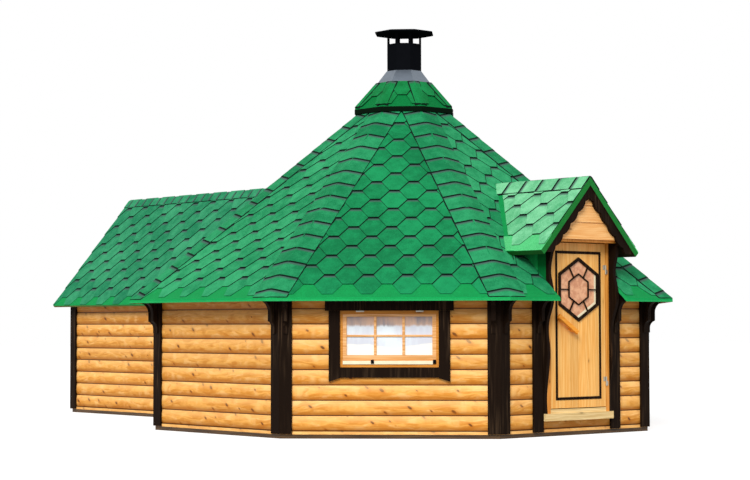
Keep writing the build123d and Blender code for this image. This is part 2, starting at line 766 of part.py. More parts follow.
def window_trim():
    """Dark boards around each window: a wide head, two legs with cut feet and a sill board."""
    y0 = -(AP + TRIM_T)
    inner = WIN_HALF - TRIM_LAP
    outer = inner + TRIM_W
    head_low = WIN_TOP - TRIM_HEAD_LAP
    head_half = WIN_HALF + TRIM_HEAD_END
    head = box(-head_half, head_half, y0, -AP, head_low, head_low + TRIM_HEAD_W)
    foot = WIN_LOW - TRIM_FOOT
    leg_top = head_low - SEAM
    leg = prism_y(
        [(inner, foot + TRIM_CHAMFER), (outer, foot), (outer, leg_top), (inner, leg_top)], y0, -AP
    )
    sill_top = WIN_LOW + TRIM_SILL_LAP
    sill = box(-inner + SEAM, inner - SEAM, y0, -AP, sill_top - TRIM_SILL_W, sill_top)
    boards = [head, sill] + both(leg)
    return [turned(board, side) for side in ("front_left", "front_right") for board in boards]


def panel_section():
    """Outline of a main roof panel in the Y-Z plane of the front side."""
    edge_low = EAVE_TOP - EAVE_EDGE
    soffit = AP_EAVE - (edge_low - roof_under(AP_EAVE)) / ROOF_TAN
    return [
        (-AP_EAVE, EAVE_TOP), (-CROWN_APOTHEM, roof_top(CROWN_APOTHEM)),
        (-CROWN_APOTHEM, roof_under(CROWN_APOTHEM)),
        (-soffit, edge_low), (-AP_EAVE, edge_low),
    ]


def roof_panel():
    """One of the eight sloping roof panels, on the front side."""
    return prism_x(panel_section(), -FAR / 2, FAR / 2) & wedge()


def roof_front():
    """The front panel, notched round the door and open under the dormer."""
    panel = roof_panel()
    room = below_gable(DORMER_UNDER, DORMER_TAN) & box(-CHEEK_OUT, CHEEK_OUT, -FAR, 0, 0, FAR)
    half = (panel - room) & box(SEAM / 2, FAR, -FAR, 0, 0, FAR)
    corner = DORMER_UNDER - CHEEK_OUT * DORMER_TAN
    split = AP_EAVE - (corner - roof_under(AP_EAVE)) / ROOF_TAN
    lower = half & box(0, FAR, -FAR, -(split + SEAM / 2), 0, FAR)
    upper = half & box(0, FAR, -(split - SEAM / 2), 0, 0, FAR)
    return both(lower) + both(upper)


def roof_back():
    """The back panel, open under the annex roof."""
    half = (roof_panel() - below_gable(ANNEX_UNDER, ANNEX_TAN)) & box(SEAM / 2, FAR, -FAR, 0, 0, FAR)
    return [turned(piece, "back") for piece in both(half)]


def roof_panels(*sides):
    """Plain roof panels on the sides that are named."""
    panel = roof_panel()
    return [turned(panel, side) for side in sides]


def gable_slope(ridge, half, pitch, thick, y0, y1):
    """The right slope of a gabled roof, cut square at its eave."""
    slope = tan(radians(pitch))
    eave = ridge - half * slope
    in_x = thick * sin(radians(pitch))
    in_z = thick * cos(radians(pitch))
    drop = thick / cos(radians(pitch))
    points = [
        (SEAM / 2, ridge), (half, eave), (half - in_x, eave - in_z), (SEAM / 2, ridge - drop),
    ]
    return prism_y(points, y0, y1)


def dormer_slope():
    """The dormer's right slope, which ends on the front roof panel."""
    slope = gable_slope(DORMER_RIDGE, DORMER_HALF, DORMER_PITCH, DORMER_T, -DORMER_FRONT, 0)
    return slope & above_main_roof(roof_top)


def dormer_sides():
    """Side boards of the dormer behind the cheeks, down to the roof's underside."""
    side = box(POST_OUT, CHEEK_OUT, -AP_IN, 0, 0, DORMER_RIDGE)
    return both(side & below_gable(DORMER_UNDER, DORMER_TAN) & above_main_roof(roof_under))


def annex_slope():
    """The annex's right slope, which ends on the back roof panel."""
    slope = gable_slope(ANNEX_RIDGE, ANNEX_EAVE_HALF, ANNEX_PITCH, ROOF_T, 0, ANNEX_ROOF_END)
    return slope & turned(above_main_roof(roof_top), "back")


def barge_board(under, pitch, low):
    """The right bargeboard under a gable's edge, with lobes along its lower side."""
    c = cos(radians(pitch))
    s = sin(radians(pitch))

    def at(along, inward):
        return (along * c - inward * s, 0, under - along * s - inward * c)

    count = floor((under - low) / s / BARGE_STEP) + 2
    lines = [Line(at(-BARGE_STEP, 0), at(count * BARGE_STEP, 0))]
    lines.append(Line(at(count * BARGE_STEP, 0), at(count * BARGE_STEP, BARGE_W - BARGE_NOTCH)))
    for k in range(count, -1, -1):
        start = at(k * BARGE_STEP, BARGE_W - BARGE_NOTCH)
        peak = at((k - 0.5) * BARGE_STEP, BARGE_W)
        end = at((k - 1) * BARGE_STEP, BARGE_W - BARGE_NOTCH)
        lines.append(ThreePointArc(start, peak, end))
    lines.append(Line(at(-BARGE_STEP, BARGE_W - BARGE_NOTCH), at(-BARGE_STEP, 0)))
    face = outlined(lines)
    board = extrude(face, amount=BARGE_T, dir=(0, 1, 0))
    return board & box(SEAM / 2, FAR, -FAR, FAR, low, FAR)


def bargeboards():
    """Scalloped boards on the dormer's and the annex's gables."""
    dormer_low = DORMER_RIDGE - DORMER_HALF * DORMER_TAN - BARGE_TAIL
    dormer = Pos(0, -BARGE_FACE, 0) * barge_board(DORMER_UNDER, DORMER_PITCH, dormer_low)
    annex_low = ANNEX_RIDGE - ANNEX_EAVE_HALF * ANNEX_TAN - BARGE_TAIL
    back_face = ANNEX_ROOF_END - BARGE_BACK
    annex = Pos(0, back_face - BARGE_T, 0) * barge_board(ANNEX_UNDER, ANNEX_PITCH, annex_low)
    return both(dormer) + both(annex)


def ring_of_eight(section, gap=SEAM):
    """Eight mitred pieces with one section, given as (apothem, z) points."""
    piece = prism_x([(-r, z) for r, z in section], -FAR / 2, FAR / 2) & wedge(gap / 2)
    return [turned(piece, side) for side in SIDES]


def cap_top(r):
    """Height of the smoke cap's top face at a distance r from the centre."""
    return CAP_LOW + CAP_EDGE + (CAP_APOTHEM - r) * CAP_TAN


def roof_crown():
    """The eight-sided curb round the smoke opening, which carries the cap."""
    inner = CROWN_APOTHEM - CURB_T
    low = roof_under(CROWN_APOTHEM) - CURB_HANG
    return ring_of_eight([
        (CROWN_APOTHEM, low), (CROWN_APOTHEM, cap_top(CROWN_APOTHEM) - CAP_DROP),
        (inner, cap_top(inner) - CAP_DROP), (inner, low),
    ])


def cap_roof():
    """The small eight-sided roof over the smoke opening, with its thick rim."""
    rim_in = CAP_APOTHEM - CAP_EDGE_T
    return ring_of_eight([
        (CAP_APOTHEM, CAP_LOW), (CAP_APOTHEM, CAP_LOW + CAP_EDGE), (CAP_NECK, cap_top(CAP_NECK)),
        (CAP_NECK, cap_top(CAP_NECK) - CAP_DROP), (rim_in, cap_top(rim_in) - CAP_DROP),
        (rim_in, CAP_LOW),
    ])


def chimney_skirt():
    """The folded metal skirt from the cap roof up to the stack."""
    foot_in = SKIRT_FOOT - SKIRT_T
    return ring_of_eight([
        (SKIRT_FOOT, SKIRT_LOW), (STACK_APOTHEM + SKIRT_T, SKIRT_TOP),
        (STACK_APOTHEM, SKIRT_TOP), (foot_in, cap_top(foot_in)),
    ])


def chimney_stack():
    """The eight-sided metal stack, made of eight plates."""
    inner = STACK_APOTHEM - STACK_T
    low = SKIRT_LOW - STACK_TAIL
    return ring_of_eight([
        (STACK_APOTHEM, low), (STACK_APOTHEM, STACK_TOP), (inner, STACK_TOP), (inner, low),
    ])


def chimney_stubs():
    """Eight short bars on the stack's corners, which hold the lid up."""
    radius = (STACK_APOTHEM - STACK_T / 2) / HALF_COS
    stub = box(-STUB / 2, STUB / 2, -radius - STUB / 2, -radius + STUB / 2, STACK_TOP, LID_LOW)
    return [Rot(0, 0, HALF_TURN + 45 * k) * stub for k in range(8)]


def chimney_lid():
    """The flat lid with an upright rim and a low crown."""
    edge = LID_LOW + LID_EDGE
    top = edge + LID_CROWN
    lid = octagon(LID_APOTHEM, LID_LOW, edge)
    profile = [(-LID_APOTHEM, edge), (-LID_FLAT, top), (0, top), (0, edge)]
    facet = prism_x(profile, -LID_APOTHEM, LID_APOTHEM) & wedge()
    for side in SIDES:
        lid += turned(facet, side)
    return [lid]


NODES = {
    "base_beams": base_beams,
    "floor_joists": floor_joists,
    "floor_panels": floor_panels,
    "front_walls": front_walls,
    "wall_below_door": wall_below_door,
    "window_walls": lambda: [
        turned(piece, side) for side in ("front_left", "front_right") for piece in window_wall()
    ],
    "side_walls": lambda: [turned(plain_wall(), side) for side in ("left", "right")],
    "back_walls": lambda: [turned(plain_wall(), side) for side in ("back_left", "back_right")],
    "passage_posts": passage_posts,
    "annex_side_walls": annex_side_walls,
    "annex_end_wall": annex_end_wall,
    "gable_boards": gable_boards,
    "corner_boards": corner_boards,
    "eave_brackets": eave_brackets,
    "door_planks": door_planks,
    "door_cheeks": door_cheeks,
    "door_frame_posts": door_frame_posts,
    "door_head": door_head,
    "door_threshold": door_threshold,
    "door_leaf": door_leaf,
    "door_moulding": door_moulding,
    "door_hexagon": door_hexagon,
    "door_glass": door_glass,
    "door_handle": door_handle,
    "leaf_hinges": leaf_hinges,
    "frame_hinges": frame_hinges,
    "window_frames": window_frames,
    "window_sashes": window_sashes,
    "window_glass": window_glass,
    "window_trim": window_trim,
    "dormer_roof": lambda: both(dormer_slope()),
    "dormer_sides": dormer_sides,
    "bargeboards": bargeboards,
    "roof_front": roof_front,
    "roof_back": roof_back,
    "roof_sides": lambda: roof_panels("left", "right"),
    "roof_front_corners": lambda: roof_panels("front_left", "front_right"),
    "roof_back_corners": lambda: roof_panels("back_left", "back_right"),
    "annex_roof": lambda: both(annex_slope()),
    "roof_crown": roof_crown,
    "cap_roof": cap_roof,
    "chimney_skirt": chimney_skirt,
    "chimney_stack": chimney_stack,
    "chimney_stubs": chimney_stubs,
    "chimney_lid": chimney_lid,
}

os.makedirs("parts", exist_ok=True)
for name, make in NODES.items():
    pieces = [solid for shape in make() for solid in shape.solids()]
    node = Compound(children=pieces) if len(pieces) > 1 else pieces[0]
    node.label = name
    export_step(node, f"parts/{name}.step")
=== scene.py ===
# %% [markdown]
# # Barbecue hut: looks for a finished CAD part
#
# The hut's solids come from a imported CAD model: logs, boards, door, windows and bare roof boards.
# This script dresses them. It lays the green felt shingles, row by row, adds the small parts of the
# windows and the thin lid of the chimney, and gives each wood, felt, glass and metal its own finish.
#
# Everything is in metres. The middle of the eight-sided room on the ground is the origin, Z is up,
# the door faces -Y and the annex reaches out along +Y.

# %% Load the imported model
import json
import math

import bmesh
import bpy
from mathutils import Matrix, Vector

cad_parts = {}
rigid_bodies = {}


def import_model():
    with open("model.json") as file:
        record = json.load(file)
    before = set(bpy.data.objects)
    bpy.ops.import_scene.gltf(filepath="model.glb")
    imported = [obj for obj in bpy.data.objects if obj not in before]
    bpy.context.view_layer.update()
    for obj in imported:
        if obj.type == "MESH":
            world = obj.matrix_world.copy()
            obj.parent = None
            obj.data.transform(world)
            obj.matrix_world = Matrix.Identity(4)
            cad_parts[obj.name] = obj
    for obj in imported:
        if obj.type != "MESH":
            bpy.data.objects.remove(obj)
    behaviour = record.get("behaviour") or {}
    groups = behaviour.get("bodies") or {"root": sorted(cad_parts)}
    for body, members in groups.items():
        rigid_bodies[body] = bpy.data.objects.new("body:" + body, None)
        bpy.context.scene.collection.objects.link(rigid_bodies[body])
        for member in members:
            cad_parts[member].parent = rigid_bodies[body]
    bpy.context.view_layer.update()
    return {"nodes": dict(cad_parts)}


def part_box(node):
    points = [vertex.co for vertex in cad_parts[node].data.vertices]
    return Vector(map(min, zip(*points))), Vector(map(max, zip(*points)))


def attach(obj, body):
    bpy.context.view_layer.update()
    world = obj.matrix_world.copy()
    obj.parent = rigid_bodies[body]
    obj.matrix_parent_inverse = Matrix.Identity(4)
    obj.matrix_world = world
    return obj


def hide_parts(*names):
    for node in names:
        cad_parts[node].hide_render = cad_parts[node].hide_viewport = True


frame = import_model()
print("CAD nodes:", len(frame["nodes"]))

# %% [markdown]
# ## Where the roof slopes are
#
# Shingles have to lie on the roof boards exactly, so each slope is measured on the model instead of
# being typed in. A slope is kept as a matrix: its first axis runs along the eave, its second climbs
# the slope, its third points away from the boards, and its origin is at the middle of the eave.
# Anything drawn flat in that system lands on the roof when the matrix is applied.

# %% Measure the slopes
UP = Vector((0, 0, 1))
SIDES = (("left", -1), ("right", 1))
# A slope looks at least this much outwards, and as much up.
LEAST_LEAN = 0.5
# Its level part looks this straight to its own side, so that its neighbours don't count.
SAME_SIDE = 0.9


def heading(degrees):
    """A level direction, measured from +X towards +Y."""
    turn = math.radians(degrees)
    return Vector((math.cos(turn), math.sin(turn), 0))


def slope_system(node, degrees, reach):
    """The system of axes of the slope of a node that looks to one side, from its eave up."""
    outward = heading(degrees)
    areas = {}
    for face in frame["nodes"][node].data.polygons:
        level = math.hypot(face.normal.x, face.normal.y)
        looks_out = face.normal.dot(outward) > max(LEAST_LEAN, SAME_SIDE * level)
        if looks_out and face.normal.z > LEAST_LEAN:
            key = tuple(round(part, 3) for part in face.normal)
            area, _, _ = areas.get(key, (0, None, None))
            areas[key] = (area + face.area, face.normal.copy(), face.center.copy())
    _, normal, point = max(areas.values(), key=lambda found: found[0])
    along = UP.cross(outward)
    upward = normal.cross(along)
    eave = outward * reach
    eave.z = point.z + (point - eave).dot(outward) * normal.dot(outward) / normal.z
    columns = Matrix((along, upward, normal)).transposed().to_4x4()
    return Matrix.Translation(eave) @ columns


def gabled_slopes(node):
    """The two slopes of a gabled roof."""
    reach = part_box(node)[1].x
    return {side: slope_system(node, 90 - 90 * sign, reach) for side, sign in SIDES}


MAIN_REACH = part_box("roof_sides")[1].x
MAIN_NODES = {
    "left": ("roof_sides", 180), "front_left": ("roof_front_corners", -135),
    "front": ("roof_front", -90), "front_right": ("roof_front_corners", -45),
    "right": ("roof_sides", 0), "back_right": ("roof_back_corners", 45),
    "back": ("roof_back", 90), "back_left": ("roof_back_corners", 135),
}
main_slopes = {side: slope_system(node, turn, MAIN_REACH)
               for side, (node, turn) in MAIN_NODES.items()}
dormer_slopes = gabled_slopes("dormer_roof")
annex_slopes = gabled_slopes("annex_roof")
for name, slopes in (("main", main_slopes), ("dormer", dormer_slopes), ("annex", annex_slopes)):
    print(name, "eave", tuple(round(v, 4) for v in slopes["left"].translation),
          "pitch", round(math.degrees(math.acos(slopes["left"].col[2].z)), 2))

# %% [markdown]
# ## Node trees as Python expressions
#
# A finish is a tree of small nodes, and so is a rule that repeats a shingle. Written as plain calls,
# such trees are long and hard to follow. The two classes below let a value from a node take part in
# ordinary arithmetic: `1 - mask * 0.4` adds the Math nodes by itself. Every other node comes from
# `node`, which takes its type, its settings and what goes into its sockets.

# %% A value and a tree
class Value:
    """An output of a node that can be used in Python arithmetic."""

    def __init__(self, tree, socket):
        self.tree = tree
        self.socket = socket

    def __add__(self, other):
        return self.tree.math("ADD", self, other)

    def __radd__(self, other):
        return self.tree.math("ADD", other, self)

    def __sub__(self, other):
        return self.tree.math("SUBTRACT", self, other)

    def __rsub__(self, other):
        return self.tree.math("SUBTRACT", other, self)

    def __mul__(self, other):
        return self.tree.math("MULTIPLY", self, other)

    def __rmul__(self, other):
        return self.tree.math("MULTIPLY", other, self)

    def __truediv__(self, other):
        return self.tree.math("DIVIDE", self, other)

    def __lt__(self, other):
        return self.tree.math("LESS_THAN", self, other)


class Tree:
    """A node tree of a finish or of a rule for repeated pieces."""

    def __init__(self, nodes):
        self.nodes = nodes

    def node(self, kind, settings=None, sockets=None, out=0):
        """Adds a node: settings first, then its sockets, and gives back one of its outputs."""
        made = self.nodes.nodes.new(kind)
        for name, setting in (settings or {}).items():
            setattr(made, name, setting)
        for key, given in (sockets or {}).items():
            if isinstance(given, Value):
                self.nodes.links.new(given.socket, made.inputs[key])
            else:
                made.inputs[key].default_value = given
        return Value(self, made.outputs[out]) if len(made.outputs) else made

    def math(self, operation, first, second=0.0):
        return self.node("ShaderNodeMath", {"operation": operation}, {0: first, 1: second})

    def vector(self, x, y, z):
        return self.node("ShaderNodeCombineXYZ", None, {0: x, 1: y, 2: z})

    def step(self, value, low, high):
        """0 below low, 1 above high, smooth between. Low may be the larger one."""
        sockets = {"Value": value, "From Min": low, "From Max": high}
        return self.node("ShaderNodeMapRange", {"interpolation_type": "SMOOTHSTEP"}, sockets)


class Finish(Tree):
    """A material, with the helpers that its tree needs."""

    def __init__(self, name):
        self.material = bpy.data.materials.new(name)
        self.material.use_nodes = True
        super().__init__(self.material.node_tree)
        self.nodes.nodes.clear()

    def here(self):
        """The object coordinates of the shaded point, as one vector."""
        return self.node("ShaderNodeTexCoord", out=3)

    def split(self, vector):
        return [self.node("ShaderNodeSeparateXYZ", None, {0: vector}, out) for out in range(3)]

    def place(self):
        """The same coordinates, as three numbers."""
        return self.split(self.here())

    def facing(self):
        """The surface's own direction in the piece's coordinates, as three numbers."""
        ways = {"vector_type": "NORMAL", "convert_from": "WORLD", "convert_to": "OBJECT"}
        surface = self.node("ShaderNodeNewGeometry", out=3)
        return self.split(self.node("ShaderNodeVectorTransform", ways, {0: surface}))

    def noise(self, place, scale=1.0, detail=3.0, roughness=0.5):
        """Smooth noise at a place, which is a vector or its three numbers."""
        vector = self.vector(*place) if isinstance(place, tuple) else place
        sockets = {"Vector": vector, "Scale": scale, "Detail": detail, "Roughness": roughness}
        return self.node("ShaderNodeTexNoise", None, sockets)

    def chance(self, *numbers):
        """One random number for each three whole numbers."""
        return self.node("ShaderNodeTexWhiteNoise", {"noise_dimensions": "3D"},
                         {"Vector": self.vector(*numbers)})

    def mix(self, factor, first, second, blend="MIX"):
        """Mixes two colours, each a colour of the tree or three numbers."""
        first, second = (c if isinstance(c, Value) else (*c, 1) for c in (first, second))
        settings = {"data_type": "RGBA", "blend_type": blend}
        return self.node("ShaderNodeMix", settings, {0: factor, 6: first, 7: second}, 2)

    def coats(self, colour, *coats):
        """Lays coats over a colour in turn, each a mask and its colour."""
        for mask, coat in coats:
            colour = self.mix(mask, colour, coat)
        return colour

    def lighten(self, colour, amount):
        """A colour times a number."""
        grey = self.node("ShaderNodeCombineColor", None, {0: amount, 1: amount, 2: amount})
        return self.mix(1.0, colour, grey, "MULTIPLY")

    def bump(self, height, distance):
        return self.node("ShaderNodeBump", None, {"Height": height, "Distance": distance})

    def finish(self, colour, roughness, gloss, **more):
        """Ends the tree in the standard surface shader."""
        sockets = {"Base Color": colour, "Roughness": roughness, "Specular IOR Level": gloss, **more}
        shader = self.node("ShaderNodeBsdfPrincipled", None, sockets)
        self.node("ShaderNodeOutputMaterial", None, {"Surface": shader})
        return self.material


finishes = {}
print("tree helpers ready")

# %% [markdown]
# ## Pine logs
#
# Each log is a board with a round face, and no two have the same tint. Grain runs along the wall, so
# the finish needs to know which way the wall runs. The surface's own direction tells it: turned a
# quarter round Z, it is the direction of the log. The distance along the log and the height give
# two coordinates, and the height divided by a log's height says which log a point is on.
# Streaks are noise that is stretched along the log. Knots are the cells of a Voronoi pattern, most of
# them thrown away, with a dark heart. The finish is laid like coats of paint: a mask says where each
# colour shows, from the grain up to painted light on each log's upper part, painted shade on its
# lower part and near-black painted shade in the joint between two logs.

# %% Log wood
LOG_HEIGHT = 0.132
LOG_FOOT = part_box("floor_panels")[1].z
LOG_KNOT_CELL = (0.21, LOG_HEIGHT)


def along_wall(wood):
    """Distance along a wall, height, and distance out from the middle of the hut."""
    x, y, z = wood.place()
    nx, ny, _ = wood.facing()
    size = wood.math("MAXIMUM", wood.math("SQRT", nx * nx + ny * ny), 0.02)
    return (y * nx - x * ny) / size, z, (x * nx + y * ny) / size


def knots(wood, along, up, cell, size, kept):
    """A mask of knots: oval spots, of which only some cells keep one. Also its heart."""
    reach = wood.node("ShaderNodeTexVoronoi", {"voronoi_dimensions": "2D"},
                      {"Vector": wood.vector(along / cell[0], up / cell[1], 0.0), "Scale": 1.0,
                       "Randomness": 1.0})
    pick, large, _ = wood.split(Value(wood, reach.socket.node.outputs["Color"]))
    lucky = pick < kept
    reach = reach / (0.45 + large)
    ring = wood.step(reach, size * 2.4, size * 0.6) * lucky
    heart = wood.step(reach, size, size * 0.5) * lucky
    return ring, heart


def log_pine():
    wood = Finish("log_pine")
    along, up, out = along_wall(wood)
    courses = (up - LOG_FOOT) / LOG_HEIGHT
    course, share = wood.math("FLOOR", courses), wood.math("FRACT", courses)
    tint = wood.chance(course, 0.5, 0.5)
    shift = course * 3.7
    warp = wood.noise((along * 1.6 + shift, up * 9.0, out * 2.0))
    streaks = wood.noise((along * 3.5 + shift, up * 52.0 + warp * 14.0, out * 40.0), detail=4.0)
    blotches = wood.noise((along * 8.0 + shift, up * 20.0 + warp * 6.0, out * 8.0), detail=4.0)
    ring, heart = knots(wood, along + shift + warp * 0.05, up + along * 0.5, LOG_KNOT_CELL, 0.10, 0.6)
    pale, rusty = wood.step(blotches, 0.50, 0.68), wood.step(blotches, 0.46, 0.30)
    # Painted light on the upper part of each log, and painted shade on its lower part.
    lit, shaded = wood.step(share, 0.45, 0.85), wood.step(share, 0.42, 0.06)
    # Painted shade, near black, in the groove where two logs meet.
    joint = wood.step(share, 0.085, 0.025) + wood.step(share, 0.965, 0.99)
    grain = wood.mix(wood.step(streaks, 0.32, 0.68), (0.66, 0.255, 0.030), (0.88, 0.430, 0.090))
    colour = wood.coats(
        grain, (pale * 0.6, (0.97, 0.570, 0.200)), (rusty * 0.6, (0.60, 0.205, 0.016)),
        (ring * 0.55, (0.52, 0.150, 0.010)), (heart * 0.85, (0.085, 0.026, 0.006)),
        (lit * 0.35, (0.98, 0.600, 0.240)), (shaded * 0.75, (0.42, 0.125, 0.008)),
        (joint * 0.9, (0.050, 0.014, 0.002)))
    relief = wood.bump(streaks * 0.5 + blotches * 0.5, 0.0012)
    return wood.finish(wood.lighten(colour, 0.92 + tint * 0.16), 0.55, 0.20, Normal=relief)


finishes["log_pine"] = log_pine()
print("logs of", LOG_HEIGHT, "m from", round(LOG_FOOT, 3), "m up")

# %% [markdown]
# ## Dark boards
#
# Corner boards, window boards and bargeboards carry an almost black brown stain with a slight sheen.
# A few paler streaks along the board keep them from looking like plastic. Most of these boards
# stand upright, so the streaks run along Z. The dormer's two cheeks are single boards in the CAD
# model. On the real hut felt covers their outer sides above the eaves, all but a dark front edge, so
# their finish turns green there.

# %% Dark stained wood
EAVE_TOP = 1.20
CHEEK_EDGE = 0.075


def dark_board(name, felt_from=None):
    """Dark stained board. Above the eaves its outer side is felt, from felt_from metres along Y on."""
    wood = Finish(name)
    x, y, z = wood.place()
    streaks = wood.noise((x * 55.0, y * 55.0, z * 3.0))
    patches = wood.noise((x * 4.0, y * 4.0, z * 1.4), detail=2.0)
    pale = wood.step(streaks, 0.46, 0.74) * wood.step(patches, 0.35, 0.65)
    colour = wood.mix(pale, (0.0095, 0.0048, 0.0026), (0.052, 0.031, 0.017))
    if felt_from is not None:
        nx, _, _ = wood.facing()
        outer = wood.step(nx * x, 0.2, 0.3) * wood.step(z, EAVE_TOP, EAVE_TOP + 0.01)
        felt = wood.mix(patches, (0.0015, 0.110, 0.022), (0.004, 0.190, 0.045))
        colour = wood.mix(outer * wood.step(y, felt_from, felt_from + 0.004), colour, felt)
    return wood.finish(colour, 0.55 + pale * 0.1, 0.03, Normal=wood.bump(streaks, 0.0008))


finishes["dark_board"] = dark_board("dark_board")
finishes["cheek_board"] = dark_board("cheek_board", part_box("door_cheeks")[0].y + CHEEK_EDGE)
print("dark boards, and cheeks with felt above", EAVE_TOP, "m")

# %% [markdown]
# ## Planed pine
#
# Door, gable boards, window sashes and floor are planed pine. They differ in colour, in the
# direction of the grain, in how many knots they have and in whether they are made of several
# boards, so one function makes them all from a table of those things.

# %% Planed wood in any direction
ALONG_X, ALONG_Y, ALONG_Z, ALONG_WALL = range(4)
KNOT_CELL = (0.24, 0.085)
BOARD = 0.11


def planed_wood(name, dark, light, grain, knot_share, board=None):
    """Planed wood of two tones whose grain runs one way, perhaps in boards of one width."""
    wood = Finish(name)
    if grain == ALONG_WALL:
        length, side, depth = along_wall(wood)
    else:
        x, y, z = wood.place()
        length, side, depth = {ALONG_X: (x, z, y), ALONG_Y: (y, x, z), ALONG_Z: (z, x, y)}[grain]
    shift = 0.0
    if board:
        tint = wood.chance(wood.math("FLOOR", side / board), 3.0, 5.0)
        shift = tint * 9.0
    warp = wood.noise((length * 1.4 + shift, side * 6.0, depth * 6.0), detail=2.0)
    streaks = wood.noise((length * 2.4 + shift, side * 75.0 + warp * 7.0, depth * 75.0), detail=4.0)
    blotches = wood.noise((length * 2.6 + shift, side * 11.0, depth * 11.0))
    ring, heart = knots(wood, length + shift, side + depth, KNOT_CELL, 0.11, knot_share)
    colour = wood.mix(wood.step(streaks, 0.34, 0.68), dark, light)
    for mask, share in ((wood.step(blotches, 0.45, 0.22) * 0.35, 0.72), (ring * 0.5, 0.62),
                        (heart * 0.8, 0.3)):
        colour = wood.mix(mask, colour, [part * share for part in dark])
    if board:
        colour = wood.lighten(colour, 0.90 + tint * 0.18)
    return wood.finish(colour, 0.42, 0.25, Normal=wood.bump(streaks, 0.0007))


PLANED = {
    "door_pine": ((0.88, 0.400, 0.080), (0.99, 0.560, 0.170), ALONG_Z, 0.08, BOARD),
    "gable_pine": ((0.84, 0.380, 0.105), (0.98, 0.560, 0.220), ALONG_X, 0.12),
    # The door frame's pine is darker than the door's: painted shade under the dormer.
    "shaded_frame_pine": ((0.62, 0.215, 0.022), (0.86, 0.370, 0.070), ALONG_Z, 0.1),
    "casing_pine": ((0.54, 0.180, 0.010), (0.72, 0.290, 0.038), ALONG_WALL, 0.1),
    "sash_pine": ((0.66, 0.300, 0.085), (0.88, 0.500, 0.220), ALONG_WALL, 0.1),
    "fresh_pine": ((0.66, 0.44, 0.17), (0.88, 0.66, 0.32), ALONG_X, 0.1),
    "handle_pine": ((0.90, 0.30, 0.018), (0.99, 0.42, 0.045), ALONG_X, 0.0),
    "base_timber": ((0.036, 0.017, 0.005), (0.110, 0.056, 0.018), ALONG_WALL, 0.2),
    "floor_board": ((0.45, 0.24, 0.09), (0.66, 0.40, 0.18), ALONG_Y, 0.2, BOARD),
}
for name, look in PLANED.items():
    finishes[name] = planed_wood(name, *look)
print("planed woods:", len(PLANED))

# %% [markdown]
# ## Green felt
#
# The roof felt is bitumen with green mineral grains pressed in. The smooth strips along the eaves
# are an even bright green, with painted light where the felt turns down over an eave. The shingles
# vary from tab to tab, are speckled, and carry a grey-violet shade band where the next row overlaps
# them, with a painted shadow line along the next row's butt and slants. How far a point is from the
# edges of that next row is stored on the shingle's own mesh, so the marks follow each tab. Cut edges
# show the black bitumen.

# %% Felt finishes
FELT_GLOSS = 0.12
# Painted light: felt that faces sideways or down is made this much lighter.
LIP_PAINTED_LIGHT = 0.5
# Metres from an edge of the next row at which each mark begins and at which it is full.
SHADE_BAND = (0.052, 0.024)
# The butt and slant marks are painted shadow from the next row's edges, the left one stronger.
BUTT_SHADOW = (0.021, 0.014)
LEFT_SHADOW = (0.013, 0.006)
RIGHT_SHADOW = (0.007, 0.002)


def felt_grain(felt):
    """Mineral grains: a fine speckle and soft clouds."""
    here = felt.here()
    return felt.noise(here, 130.0, 3.0, 0.75), felt.noise(here, 11.0, 3.0, 0.6)


def turned_felt(felt, grain, cloud, nz, dark, light):
    """Colour of felt that is turned down over the eave, with painted light on its lip."""
    colour = felt.mix(felt.step(grain, 0.3, 0.7), dark, light)
    return felt.lighten(colour, (0.84 + cloud * 0.32) * (1 + felt.step(nz, 0.4, 0.1) * LIP_PAINTED_LIGHT))


def smooth_felt(name, dark, light):
    """Felt of the strips along the eaves and in the valleys."""
    felt = Finish(name)
    grain, cloud = felt_grain(felt)
    colour = turned_felt(felt, grain, cloud, felt.facing()[2], dark, light)
    return felt.finish(colour, 0.8, FELT_GLOSS, Normal=felt.bump(grain, 0.0006))


def shingle_felt(name, dark, light):
    """Felt of the shingles, between a dark and a light green."""
    felt = Finish(name)
    tone, below, right, left, edge = (
        felt.node("ShaderNodeAttribute", {"attribute_name": label}, None, 2)
        for label in ("tone", "below_lap", "right_lap", "left_lap", "edge"))
    grain, cloud = felt_grain(felt)
    drift = felt.noise(felt.here(), 1.7, 2.0)
    share = grain * 0.60 + cloud * 0.40 + (tone - 0.5) * 0.12 + (drift - 0.5) * 0.30
    band = felt.step(below, *SHADE_BAND) * (0.35 + cloud * 0.8)
    # Painted shadow lines, near black, under the next row's butt and slants; the left slant's is
    # wider.
    slant = felt.math("MAXIMUM", felt.step(left, *LEFT_SHADOW), felt.step(right, *RIGHT_SHADOW) * 0.6)
    line = felt.math("MAXIMUM", felt.step(below, *BUTT_SHADOW), slant)
    colour = felt.coats(
        felt.mix(felt.step(share, 0.34, 0.68), dark, light), (band, (0.056, 0.068, 0.080)),
        (line, (0.0010, 0.007, 0.004)), (edge, (0.001, 0.008, 0.005)))
    return felt.finish(colour, 0.85, FELT_GLOSS, Normal=felt.bump(grain, 0.0010))


